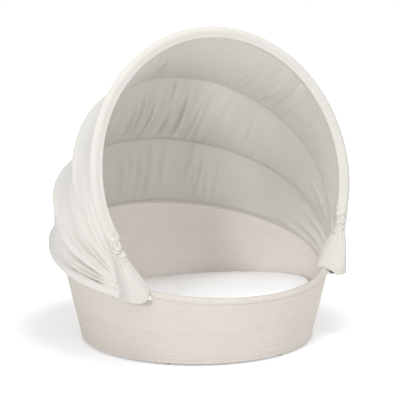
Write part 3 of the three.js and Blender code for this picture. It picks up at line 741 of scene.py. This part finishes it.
def panel_shares(rows):
    """Shares of the way along and across, for every point of a panel."""
    return np.meshgrid(np.linspace(0, 1, rows), np.linspace(0, 1, PANEL_COLS), indexing="ij")


def panel_grid(first, second, *folds):
    """A sheet between two edges; each fold(s, t) moves it out along its normal."""
    t = np.linspace(0, 1, PANEL_COLS)
    grid = first[:, None, :] * (1 - t)[None, :, None] + second[:, None, :] * t[None, :, None]
    s, t = panel_shares(len(first))
    return grid + outward_normals(grid) * sum(fold(s, t) for fold in folds)[..., None]


def from_end(s):
    """How far along a panel from its nearer end."""
    return np.minimum(s, 1 - s)


def near_ends(s, full=0.06, gone=0.26):
    """1 near both ends of a panel, fading to 0 further up."""
    return 1 - smoothstep(from_end(s), full, gone)


SAG_START_SHARE = 0.16


def sag(depth, peak=0.5):
    """Cloth that hangs in between its edges, deepest at a share of the way across."""
    power = math.log(0.5) / math.log(peak)

    def at(s, t):
        return -depth * np.sin(math.pi * t**power) * smoothstep(from_end(s), 0.0, SAG_START_SHARE)
    return at


PLEAT_DRIFT = 2.4  # in radians from one end of a panel to the other
PLEAT_CREST = 0.5  # below 1 the crests are round and the grooves narrow
PLEAT_MIDDLE = 1.35
PLEAT_FADE = 0.7
PLEAT_REACH_SHARES = 0.09, 0.24
PLEAT_START_SHARE = 0.12


def pleats(depth, turns, shift):
    """Folds that run along the hoops and draw together at the pivots, round on top and narrow below."""
    def at(s, t):
        turn = math.pi * (turns * t + shift) + PLEAT_DRIFT * s
        wave = 2 * np.abs(np.sin(turn)) ** PLEAT_CREST - PLEAT_MIDDLE
        fold = depth * wave * np.sin(math.pi * t) ** PLEAT_FADE
        return fold * near_ends(s, *PLEAT_REACH_SHARES) * smoothstep(from_end(s), 0, PLEAT_START_SHARE)
    return at


CREASE_WIDTH_SHARE = 0.045  # of the way across
CREASE_DEPTH = 0.020
CREASE_FADE = 0.4
CREASE_START_SHARES = 0.015, 0.06
LIP_HEIGHT = 0.7
LIP_PLACE = 2.0  # in widths of the crease, from its middle
LIP_WIDTH = 1.4
# Each crease: how far across it is at its end and at its reach, the reach and the strength
FRONT_CREASE_SHARES = ((0.26, 0.34, 0.22, 1.0), (0.52, 0.72, 0.17, 1.0), (0.80, 0.60, 0.12, 0.8))
MIDDLE_CREASE_SHARES = ((0.22, 0.42, 0.14, 1.0), (0.55, 0.80, 0.17, 0.9), (0.84, 0.68, 0.10, 0.8))
REAR_CREASE_SHARES = ((0.28, 0.50, 0.15, 1.0), (0.56, 0.70, 0.20, 1.1), (0.82, 0.90, 0.28, 1.1))


def creases(lines):
    """Sharp folds that start at the gathered ends and fade up the panel, each with a raised lip."""
    def at(s, t):
        end = from_end(s)
        total = np.zeros_like(s)
        for first, last, reach, strength in lines:
            away = (t - first - (last - first) * end / reach) / CREASE_WIDTH_SHARE
            fade = (1 - smoothstep(end, CREASE_FADE * reach, reach)) * smoothstep(end, *CREASE_START_SHARES)
            lip = LIP_HEIGHT * np.exp(-(((away - LIP_PLACE) / LIP_WIDTH) ** 2))
            total -= CREASE_DEPTH * strength * fade * (np.exp(-np.abs(away) ** 1.4) - lip)
        return total * np.sin(math.pi * t) ** 0.4
    return at


FOLD_END_SHARE = 0.06
EDGE_POWER = 0.35  # how fast folds rise from the seams
# Ranges of the sizes, widths, slants, starts and stops
RIPPLE_SHARES = (0.35, 1.0), (0.0026, 0.0050), (-0.012, 0.012), (-0.1, 0.4), (0.5, 1.1)
RIPPLE_FADE_SHARES = 0.15, 0.15
RIPPLE_SPREAD_SHARE = 0.028  # of the length, round the middle of a group
GROUP_SIZE = 6


def folds_across(depth, folds, fade_in, fade_out, sharpness):
    """Folds from one hoop to the next: each has a place, size, width, slant, start and stop, all shares."""
    folds = list(folds)

    def at(s, t):
        total = np.zeros_like(s)
        for place, size, width, slant, start, stop in folds:
            fade = smoothstep(t, start - fade_in, start + fade_out)
            fade = fade * smoothstep(-t, -stop - fade_in, -stop + fade_out)
            away = np.abs((s - (place + slant * (t - 0.5))) / width)
            total += depth * size * fade * np.exp(-away**sharpness)
        return total * smoothstep(from_end(s), 0, FOLD_END_SHARE) * np.sin(math.pi * t) ** EDGE_POWER
    return at


def ripples(count, depth, seed):
    """Gathers in groups, uneven in size, most of them hollows."""
    local = np.random.default_rng(seed)
    groups = np.sort(local.random(max(3, count // GROUP_SIZE))) * 0.9 + 0.05
    places = local.choice(groups, count) + local.normal(0, RIPPLE_SPREAD_SHARE, count)
    sizes, *ranges = RIPPLE_SHARES
    sizes = local.uniform(*sizes, count) * local.choice([-1, -1, 1], count)
    drawn = [local.uniform(*values, count) for values in ranges]
    return folds_across(depth, zip(places, sizes, *drawn), *RIPPLE_FADE_SHARES, sharpness=1.5)


GATHER_SHIFT_SHARE = 0.28  # of the spacing
GATHER_WIDTH_SHARE = 0.30
GATHER_FADE_SHARES = 0.12, 0.18
# Ranges of the sizes, starts, stops and slants
GATHER_SHARES = (0.45, 1.0), (-0.15, 0.30), (0.60, 1.15), (-0.010, 0.010)


def gathers(first, last, count, depth, seed):
    """A row of deep folds between two shares of the panel's length."""
    local = np.random.default_rng(seed)
    spacing = (last - first) / count
    shift = local.uniform(-GATHER_SHIFT_SHARE, GATHER_SHIFT_SHARE, count)
    places = first + spacing * (np.arange(count) + 0.5 + shift)
    sizes, starts, stops, slants = (local.uniform(*values, count) for values in GATHER_SHARES)
    widths = np.full(count, GATHER_WIDTH_SHARE * spacing)
    folds = zip(places, sizes, widths, slants, starts, stops)
    return folds_across(-depth, folds, *GATHER_FADE_SHARES, sharpness=1.6)


FULLNESS_UP_HIGH = 0.4  # share of a sheet's extra width that it keeps away from its ends


class Sheet:
    """A panel: its grid, how much longer and wider it is cut, and the folds laid in once it has hung."""

    def __init__(self, name, grid, cloth, longer=1.0, wider=1.0, laid=()):
        self.name = name
        self.laid = laid
        self.grid = grid
        self.cloth = cloth
        rows, cols = grid.shape[:2]
        fullness = FULLNESS_UP_HIGH + (1 - FULLNESS_UP_HIGH) * near_ends(np.linspace(0, 1, rows))
        along = step_lengths(grid, 0) * longer
        across = step_lengths(grid, 1) * (1 + (wider - 1) * fullness)[:, None]
        self.pattern = np.zeros_like(grid)
        self.pattern[1:, :, 0] = np.cumsum(along, axis=0)
        self.pattern[:, 1:, 1] = np.cumsum(across, axis=1)
        self.sewn = np.zeros((rows, cols), bool)
        self.sewn[[0, -1]] = True
        self.sewn[:, [0, PANEL_COLS - 1]] = True

    def lay_folds(self):
        """Presses the laid folds into the panel, after it has hung."""
        panel = self.grid[:, :PANEL_COLS]
        s, t = panel_shares(len(panel))
        push = sum(fold(s, t) for fold in self.laid)
        self.grid[:, :PANEL_COLS] = panel + outward_normals(panel) * push[..., None]


DRAPE_FRAMES = 18
DRAPE_SMOOTHING = 2
CLOTH_SETTINGS = {
    "quality": 6, "mass": 0.25, "tension_stiffness": 15.0, "compression_stiffness": 15.0,
    "shear_stiffness": 5.0, "bending_stiffness": 0.5, "air_damping": 5.0,
}
SEAM_UNEVENNESS = 0.0008
LONGEST_MOVE = 0.045  # of cloth from where it was laid out
SETTLED_SHARES = 0.015, 0.045  # of the length from an end, over which a panel comes to keep its hanging


def drape(sheets):
    """Hangs all the sheets in one cloth simulation, each sewn at its edges and free in between."""
    scene = bpy.context.scene
    hanging = []
    for sheet in sheets:
        unevenness = np.where(sheet.sewn, 0, rng.normal(0, SEAM_UNEVENNESS, sheet.sewn.shape))
        start = sheet.grid + grid_normals(sheet.grid) * unevenness[..., None]
        piece = grid_mesh(f"{sheet.name}_hanging", start, sheet.cloth)
        piece.shape_key_add(name="sewn")
        cut = piece.shape_key_add(name="cut")
        cut.data.foreach_set("co", sheet.pattern.astype(np.float32).ravel())
        cut.value = 0.0
        seams = piece.vertex_groups.new(name="seams")
        seams.add(np.flatnonzero(sheet.sewn).tolist(), 1.0, "REPLACE")
        settings = piece.modifiers.new("cloth", "CLOTH").settings
        for key, value in CLOTH_SETTINGS.items():
            setattr(settings, key, value)
        settings.vertex_group_mass = "seams"
        settings.rest_shape_key = cut
        hanging.append(piece)
    for moment in range(1, DRAPE_FRAMES + 1):
        scene.frame_set(moment)
    graph = bpy.context.evaluated_depsgraph_get()
    for sheet, piece in zip(sheets, hanging):
        hung = piece.evaluated_get(graph)
        mesh = hung.to_mesh()
        places = np.zeros(sheet.grid.size, np.float32)
        mesh.vertices.foreach_get("co", places)
        hung.to_mesh_clear()
        moved = places.reshape(sheet.grid.shape).astype(float) - sheet.grid
        length = np.linalg.norm(moved, axis=-1, keepdims=True)
        moved *= np.minimum(1, LONGEST_MOVE / np.maximum(length, LONGEST_MOVE / 2))
        settled = smoothstep(from_end(np.linspace(0, 1, len(moved))), *SETTLED_SHARES)[:, None, None]
        sheet.grid = smoothed(sheet.grid + moved * settled, sheet.sewn, DRAPE_SMOOTHING)
    for piece in hanging:
        bpy.data.objects.remove(piece)
    scene.frame_set(1)


def smoothed(grid, fixed, passes):
    for _ in range(passes):
        mean = grid.copy()
        mean[1:-1, 1:-1] = (grid[:-2, 1:-1] + grid[2:, 1:-1] + grid[1:-1, :-2] + grid[1:-1, 2:]) / 4
        grid = np.where(fixed[..., None], grid, (grid + mean) / 2)
    return grid


LINING_GAP = 0.008


def keep_apart(cover, lining):
    """Moves a lining in where it comes near its cover or through it."""
    shell = cover.grid[:, :PANEL_COLS]
    quads = grid_quads(*shell.shape[:2])
    tree = BVHTree.FromPolygons(shell.reshape(-1, 3).tolist(), quads.tolist())
    inward = -outward_normals(shell).reshape(-1, 3)
    placed = lining.grid.reshape(-1, 3).copy()
    for i in np.flatnonzero(~lining.sewn):
        near = tree.find_nearest(placed[i].tolist())
        direction = inward[quads[near[2]]].mean(axis=0)
        depth = (placed[i] - np.array(near[0])) @ direction
        if depth < LINING_GAP:
            placed[i] += direction * (LINING_GAP - depth)
    lining.grid = smoothed(placed.reshape(lining.grid.shape), lining.sewn, 1)


def finish_sheet(sheet, inside, replaced):
    pattern = sheet.pattern
    along, across = pattern[..., 0], pattern[..., 1]
    piece = grid_mesh(sheet.name, sheet.grid, sheet.cloth, flip=inside, along=along, across=across)
    solidify(piece, SHEET_THICKNESS)
    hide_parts(*replaced)
    return piece


def blend_over(piece):
    """Bakes a panel's transform into its mesh."""
    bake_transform(piece)


def blend_rear(piece):
    """Bakes a rear panel's transform into its mesh."""
    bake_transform(piece)


# Band round the front hoop
BAND_OUTER = 0.028
BAND_INNER = 0.040  # at the top of the hoop
BAND_INNER_LEG = 0.050
BAND_NECK = 0.028
BAND_START = 0.224
BAND_FULL = 0.330
BAND_THICK = 0.0145
BAND_THIN = 0.0045
BAND_TAIL = 0.045  # of the band below its start, inside the boot
BAND_LOW = 0.01, 0.06  # above its start and above where it is full, where the crumpling fades
BAND_FLARE = 0.35
BAND_FLARE_LENGTH = 0.03
BAND_PUCKERS = ((61, 0.0006, 0.0),)
BAND_CRUSH = 1.6
BAND_TUBE_SHARE = 2.1  # of the tube's radius, that the thick part spans
BAND_EDGE_POWER = 0.85
BAND_FACE_POWER = 0.6
BAND_ROWS = 640
BAND_SIDES = 56


def band_width(h):
    """How far the band reaches outside and inside its hoop."""
    opened = smoothstep(h, BAND_START, BAND_FULL)
    leg = 1 - smoothstep(h, HOOP_SHOULDER, FRONT.reach)
    inner = BAND_INNER + (BAND_INNER_LEG - BAND_INNER) * leg
    return BAND_NECK + (BAND_OUTER - BAND_NECK) * opened, BAND_NECK + (inner - BAND_NECK) * opened


def rounded(wave, power):
    """A wave made fuller or sharper by a power that keeps its sign."""
    return np.sign(wave) * np.abs(wave) ** power


def make_band():
    """The band round the front hoop: thick over the tube, flat at its inner edge, crumpled at its ends."""
    x, h, out_x, out_h, length = hoop_line(FRONT, BAND_START - BAND_TAIL, BAND_ROWS)
    outer, inner = band_width(h)
    turns = even_turn(BAND_SIDES)[None, :]
    across = np.cos(turns)
    place = np.where(across > 0, outer[:, None], inner[:, None]) * rounded(across, BAND_EDGE_POWER)
    over_tube = np.exp(-((place / (BAND_TUBE_SHARE * HOOP_TUBE)) ** 2))
    thick = BAND_THIN + (BAND_THICK - BAND_THIN) * over_tube
    s = np.linspace(0, 1, BAND_ROWS)[:, None]
    low = (1 - smoothstep(h, BAND_START + BAND_LOW[0], BAND_FULL + BAND_LOW[1]))[:, None]
    crumple = (
        0.20 * np.sin(6 * turns + 5 * np.sin(TAU * 31 * s))
        + 0.14 * np.sin(11 * turns - TAU * 43 * s)
        + 0.16 * np.sin(TAU * 71 * s + 2 * turns)
    ) * low
    ends = 1 - smoothstep(h, BAND_START - BAND_TAIL, BAND_START + BAND_FLARE_LENGTH)
    flare = 1 + BAND_FLARE * ends[:, None]
    pucker = waves(TAU * s, BAND_PUCKERS) * (1 - low)
    place = place * (1 + crumple) * flare
    depth = thick * (1 + BAND_CRUSH * crumple) * flare + pucker
    back = -depth * rounded(np.sin(turns), BAND_FACE_POWER)
    grid = on_hoop(FRONT, x[:, None] + place * out_x[:, None], h[:, None] + place * out_h[:, None], back)
    along = np.broadcast_to(s * length, place.shape)
    band = grid_mesh("front_band", grid, BAND, closed_cols=True, along=along, across=place)
    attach(band, FRONT.body)
    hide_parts("front_sleeve")


# Where the cover and the lining are sewn to the band: in from its edge, and back from its middle
COVER_SEAM = 0.004, 0.004
LINING_SEAM = 0.008, 0.006


def band_edges():
    """The seams of the cover and the lining, at the band's outer and inner edge."""
    outer, inner = band_width(hoop_line(FRONT, LOW, PANEL_ROWS)[1])
    return (
        hoop_edge(FRONT, LOW, outer - COVER_SEAM[0], COVER_SEAM[1]),
        hoop_edge(FRONT, LOW, LINING_SEAM[0] - inner, LINING_SEAM[1]),
    )


SWELL = 0.005
SWELL_PLACE = 0.10
SWELL_WIDTH = 0.09
SWELL_SHARES = 0.04, 0.12


def swell(s, t):
    """The cover swells out a little just behind the band."""
    hump = SWELL * np.exp(-(((t - SWELL_PLACE) / SWELL_WIDTH) ** 2))
    return hump * np.sin(math.pi * np.minimum(t * 4, 0.5)) * smoothstep(from_end(s), *SWELL_SHARES)


# Each panel: how much longer and wider than its place it is cut, and the folds pressed in once it has hung
PANELS = {
    "cover_front": (1.035, 1.08, [
        pleats(depth=0.028, turns=1.8, shift=0.3), creases(FRONT_CREASE_SHARES),
    ]),
    "cover_middle": (1.04, 1.10, [
        pleats(depth=0.030, turns=1.9, shift=0.15), creases(MIDDLE_CREASE_SHARES),
    ]),
    "cover_rear": (1.045, 1.10, [
        pleats(depth=0.030, turns=2.2, shift=0.4), creases(REAR_CREASE_SHARES),
    ]),
    "lining_front": (1.05, 1.08, [
        gathers(0.53, 0.66, count=7, depth=0.020, seed=3),
        gathers(0.29, 0.36, count=3, depth=0.020, seed=8),
    ]),
    "lining_middle": (1.085, 1.10, [gathers(0.37, 0.74, count=25, depth=0.021, seed=5)]),
    "lining_rear": (1.05, 1.10, [
        gathers(0.44, 0.60, count=7, depth=0.019, seed=7),
        gathers(0.35, 0.41, count=3, depth=0.018, seed=9),
        pleats(depth=0.012, turns=2.6, shift=0.1),
    ]),
}
SEAM_OFFSET = 0.002  # of a panel's edge from the middle of its hoop


def seam_edges(hoop, place):
    """The edges of the two panels that meet at a hoop."""
    return [hoop_edge(hoop, LOW, place, back) for back in (-SEAM_OFFSET, SEAM_OFFSET)]


def panel_grids():
    """The six panels as laid out, before they hang."""
    band_outer, band_inner = band_edges()
    middle_outer, rear_outer = (seam_edges(hoop, COVER_PLACE) for hoop in (MIDDLE, REAR))
    middle_inner, rear_inner = (seam_edges(hoop, -LINING_PLACE) for hoop in (MIDDLE, REAR))
    return {
        "cover_front": panel_grid(
            band_outer, middle_outer[0], sag(0.024, peak=0.6), swell, ripples(20, depth=0.009, seed=12)
        ),
        "cover_middle": panel_grid(
            middle_outer[1], rear_outer[0], sag(0.034), ripples(20, depth=0.010, seed=15)
        ),
        "cover_rear": rear_cover_grid(rear_outer[1]),
        "lining_front": panel_grid(
            band_inner, middle_inner[0], sag(0.016, peak=0.55),
            pleats(depth=0.006, turns=2.0, shift=0.2), ripples(20, depth=0.014, seed=36),
            gathers(0.55, 0.63, count=5, depth=0.020, seed=3),
            gathers(0.27, 0.33, count=3, depth=0.022, seed=4),
        ),
        "lining_middle": panel_grid(
            middle_inner[1], rear_inner[0], sag(0.030, peak=0.60),
            pleats(depth=0.006, turns=2.0, shift=0.4), ripples(24, depth=0.014, seed=37),
            gathers(0.44, 0.74, count=22, depth=0.026, seed=5),
            gathers(0.30, 0.40, count=4, depth=0.020, seed=6),
        ),
        "lining_rear": rear_lining_grid(rear_inner[1]),
    }


def make_canopy():
    sheets = {}
    for key, grid in panel_grids().items():
        name = key.replace("cover", "canopy").replace("lining", "canopy_lining")
        cloth = COVER if key.startswith("cover") else LINING
        sheets[key] = Sheet(name, grid, cloth, *PANELS[key])
    drape(list(sheets.values()))
    for word in ("front", "middle", "rear"):
        sheets[f"cover_{word}"].lay_folds()
        sheets[f"lining_{word}"].lay_folds()
        keep_apart(sheets[f"cover_{word}"], sheets[f"lining_{word}"])
    for word, first, second in (("front", FRONT, MIDDLE), ("middle", MIDDLE, REAR)):
        for kind in ("cover", "lining"):
            sheet = sheets[f"{kind}_{word}"]
            piece = finish_sheet(sheet, kind == "lining", [f"{kind}_{word}"])
            blend_over(piece)
    for kind, replaced, held_by in (
        ("cover", ["cover_rear", "rear_skirt"], ["rear_hoop", "rear_rail"]),
        ("lining", ["lining_rear"], ["rear_hoop", "rim_tube"]),
    ):
        piece = finish_sheet(sheets[f"{kind}_rear"], kind == "lining", replaced)
        blend_rear(piece)
    make_band()
    make_seams()


# Rear panels
HEM_START = math.radians(58)
HEM_DROP = 0.040  # below the rail's centre
HEM_FLARE = 0.008
HEM_WAVES = (9, 0.0035, 0.2), (17, 0.0028, 2.0), (29, 0.00175, 4.1)  # how many, how large and their phase
HEM_SWAYS = ((7, 0.05, 0.0),)  # as shares of its drop
TIE_CLEAR = 0.002
TIE_RISE = 0.004  # of the tied line above the rail's centre
LOBE = 0.016  # how far the cover swells over the rail
LOBE_PLACE = 0.88
LOBE_WIDTH = 0.09
LINING_BELOW_RIM = 0.010
LINING_INSET = 0.0492  # from the wall's outer face, just inside the rim roll


def rail_line(share, start):
    azimuth = start + share * (TAU - 2 * start)
    z = rim_height(azimuth) - RAIL_DROP
    return azimuth, outer_radius(z) + RAIL_OFFSET, z


def rear_cover_grid(top):
    """The rear cover: down from its hoop, swelling over the rail, drawn in on it, and on to a loose hem."""
    s = np.linspace(0, 1, PANEL_ROWS)
    azimuth, radius, z = rail_line(s, HEM_START)
    tied_radius, tied_z = radius + RAIL_RADIUS + TIE_CLEAR, z + TIE_RISE
    outward = around(azimuth, 1.0, 0.0) - around(azimuth, 0.0, 0.0)
    tied = around(azimuth, tied_radius, tied_z)
    panel = panel_grid(top, tied, sag(0.026, peak=0.42), ripples(20, depth=0.010, seed=51))
    t = np.linspace(0, 1, PANEL_COLS)
    bulge = LOBE * np.exp(-(((t - LOBE_PLACE) / LOBE_WIDTH) ** 2)) * (1 - t**8)
    panel = panel + outward[:, None, :] * bulge[None, :, None]
    down = np.linspace(0, 1, HEM_COLS + 1)[1:][None, :]
    flare = HEM_FLARE * np.sin(math.pi / 2 * down) + waves(TAU * s, HEM_WAVES)[:, None] * down
    drop = (HEM_DROP + TIE_RISE) * down * (1 + waves(TAU * s, HEM_SWAYS))[:, None]
    hem = around(azimuth[:, None], tied_radius[:, None] + flare, tied_z[:, None] - drop)
    return np.concatenate([panel, hem], axis=1)


def rim_seam(azimuth):
    """The lining's lower edge, just inside the rim roll."""
    z = rim_height(azimuth) - LINING_BELOW_RIM
    return around(azimuth, outer_radius(z) - LINING_INSET, z)


def rear_lining_grid(top):
    azimuth, _, _ = rail_line(np.linspace(0, 1, PANEL_ROWS), HEM_START)
    folds = ripples(16, depth=0.014, seed=61), gathers(0.46, 0.60, count=6, depth=0.022, seed=7)
    return panel_grid(top, rim_seam(azimuth), sag(0.026, peak=0.4), *folds)


TUBE_SIDES = 8


def tube_along(name, points, radius, cloth):
    """A thin tube through a row of points."""
    tangent = unit(np.gradient(points, axis=0))
    side = unit(np.cross(tangent, np.where(np.abs(tangent[:, :1]) > 0.9, [0, 1.0, 0], [1.0, 0, 0])))
    for i in range(1, len(side)):
        bare = side[i - 1] - tangent[i] * (side[i - 1] @ tangent[i])
        side[i] = bare / np.linalg.norm(bare)
    up = np.cross(tangent, side)
    turn = even_turn(TUBE_SIDES)
    ring = np.cos(turn)[None, :, None] * side[:, None, :] + np.sin(turn)[None, :, None] * up[:, None, :]
    grid = points[:, None, :] + radius * ring
    along = np.broadcast_to(np.r_[0, np.cumsum(step_lengths(points, 0))][:, None], grid.shape[:2])
    across = np.broadcast_to(radius * turn, grid.shape[:2])
    return grid_mesh(name, grid, cloth, closed_cols=True, along=along, across=across)


SEAM_RADIUS = 0.0032
SEAM_RISE = 0.01  # of the seams' ends above the panels' ends
LINING_HEM_RADIUS = 0.003


def make_seams():
    for word, hoop in (("middle", MIDDLE), ("rear", REAR)):
        for kind, place, cloth in (("cover", COVER_PLACE, COVER), ("lining", -LINING_PLACE, LINING)):
            line = hoop_edge(hoop, LOW + SEAM_RISE, place, 0.0)
            seam = tube_along(f"{kind}_seam_{word}", line, SEAM_RADIUS, cloth)
            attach(seam, hoop.body)
    azimuth, _, _ = rail_line(np.linspace(0, 1, PANEL_ROWS), RAIL_START)
    hem = tube_along("lining_hem", rim_seam(azimuth), LINING_HEM_RADIUS, LINING)
    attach(hem, "tub")


# Boots over the hinges
BOOT_TOP = 0.206
BOOT_NECK = 0.027
BOOT_DROP = 0.043
BOOT_INNER_DROP = 0.010
BOOT_INWARD = 0.112  # across the rim, from the hinge
BOOT_OUTWARD = 0.074
BOOT_FORWARD = 0.072  # along the rim
BOOT_BACKWARD = 0.108
BOOT_OVER_RIM = 0.003
BOOT_ROWS = 64
BOOT_SIDES = 144
OUTWARD_POWER = 2.2
BOOT_FOLDS = (0.05, 3, 2.6), (0.025, 8, -3.4)  # size, how many round the boot, and their lean
BOOT_GATHER = 0.12
BOOT_GATHERS = 13
GATHERED_SHARES = 0.6, 0.97
HANGING_SHARES = -0.30, 0.35
BOOT_HEM_WAVE = 0.003


def make_boots():
    """Cloth wrapped over each hinge and the rim, and gathered round the front hoop."""
    for side, word, twist in ((1, "right", 1.4), (-1, "left", -0.6)):
        sheet = Sheet(f"boot_{word}", boot_grid(side, twist), BOOT)
        replaced, held_by = [f"hinge_boot_{word}"], ["rim_tube", "front_hoop"]
        piece = finish_sheet(sheet, side < 0, replaced)
        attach(piece, "tub")
        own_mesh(piece)


def boot_grid(side, twist):
    neck_share = (BOOT_TOP - HOOP_STRAIGHT) / (HOOP_SHOULDER - HOOP_STRAIGHT)
    neck_x = FRONT.span + (FRONT.width - FRONT.span) * math.sin(math.pi / 2 * neck_share)
    top = on_hoop(FRONT, neck_x, BOOT_TOP)
    hinge_azimuth = math.atan2(HINGE_OFFSET, AXIS_Y - PIVOT_Y)
    sine, cosine = math.sin(hinge_azimuth), math.cos(hinge_azimuth)
    turn = np.linspace(0, TAU, BOOT_SIDES + 1)[:, None]
    level = np.linspace(0, 1, BOOT_ROWS)[None, :]
    c, s = np.cos(turn), np.sin(turn)
    outward = (BOOT_OUTWARD - BOOT_NECK) * (1 - level**OUTWARD_POWER)
    inward, backward, forward = (
        (reach - BOOT_NECK) * (1 - level) ** power
        for reach, power in ((BOOT_INWARD, 0.7), (BOOT_BACKWARD, 0.75), (BOOT_FORWARD, 0.9))
    )
    across = BOOT_NECK + np.where(c > 0, outward, inward)
    along = BOOT_NECK + np.where(s > 0, backward, forward)
    body = np.sin(math.pi * np.clip(level * 0.85 + 0.15, 0, 1))
    fold = sum(
        size * np.cos(count * turn + lean * level + twist) * body for size, count, lean in BOOT_FOLDS
    )
    gather = BOOT_GATHER * np.cos(BOOT_GATHERS * turn + 1.5 * twist) * smoothstep(level, *GATHERED_SHARES)
    across, along = across * (1 + fold + gather) * c, along * (1 + fold + gather) * s
    hangs = smoothstep(c, *HANGING_SHARES)
    hem = PIVOT_Z - BOOT_INNER_DROP - (BOOT_DROP - BOOT_INNER_DROP) * hangs
    hem = hem + BOOT_HEM_WAVE * (np.cos(3 * turn + twist) - 1)
    z = hem + (top[2] - hem) * level
    rise = np.clip((z - PIVOT_Z) / (top[2] - PIVOT_Z), 0, 1)
    x = HINGE_OFFSET + (top[0] - HINGE_OFFSET) * rise + across * sine + along * cosine
    y = PIVOT_Y + (top[1] - PIVOT_Y) * rise - across * cosine + along * sine
    # Over the rim the cloth lies on the roll
    radius, azimuth = np.hypot(x, y - AXIS_Y), np.arctan2(x, AXIS_Y - y)
    roll_z = rim_height(azimuth) - RIM_RADIUS
    from_roll = np.abs(radius - (outer_radius(roll_z) - RIM_RADIUS))
    clear = RIM_RADIUS + BOOT_OVER_RIM
    on_roll = roll_z + np.sqrt(np.maximum(clear**2 - from_roll**2, 0))
    z = np.where(from_roll < clear, np.maximum(z, on_roll), z)
    return np.stack([side * x, y, z], axis=-1)


def finish_hardware():
    """Gives the CAD's rigid nodes their finishes."""
    finishes = (
        (FRAME_METAL, ("base_ring", "rim_tube", "upright", "deck_ring", "hinge_bracket", "rear_rail")),
        (HOOP_METAL, ("front_hoop", "middle_hoop", "rear_hoop")),
        (WOOD, ("deck_slat",)),
        (GLIDE, ("foot", "rail_clip")),
        (STEEL, ("pivot_bolt",)),
        (NYLON, ("hinge_spacer",)),
    )
    for name, obj in frame["nodes"].items():
        for finish, starts in finishes:
            if name.startswith(starts):
                obj.data.materials.clear()
                obj.data.materials.append(finish)


make_camera()
make_world()
make_stage()
make_lights()
make_walls()
make_rim()
make_foot_border()
make_cushion()
make_canopy()
make_boots()
finish_hardware()

scene = bpy.context.scene
scene.view_settings.view_transform = "Standard"
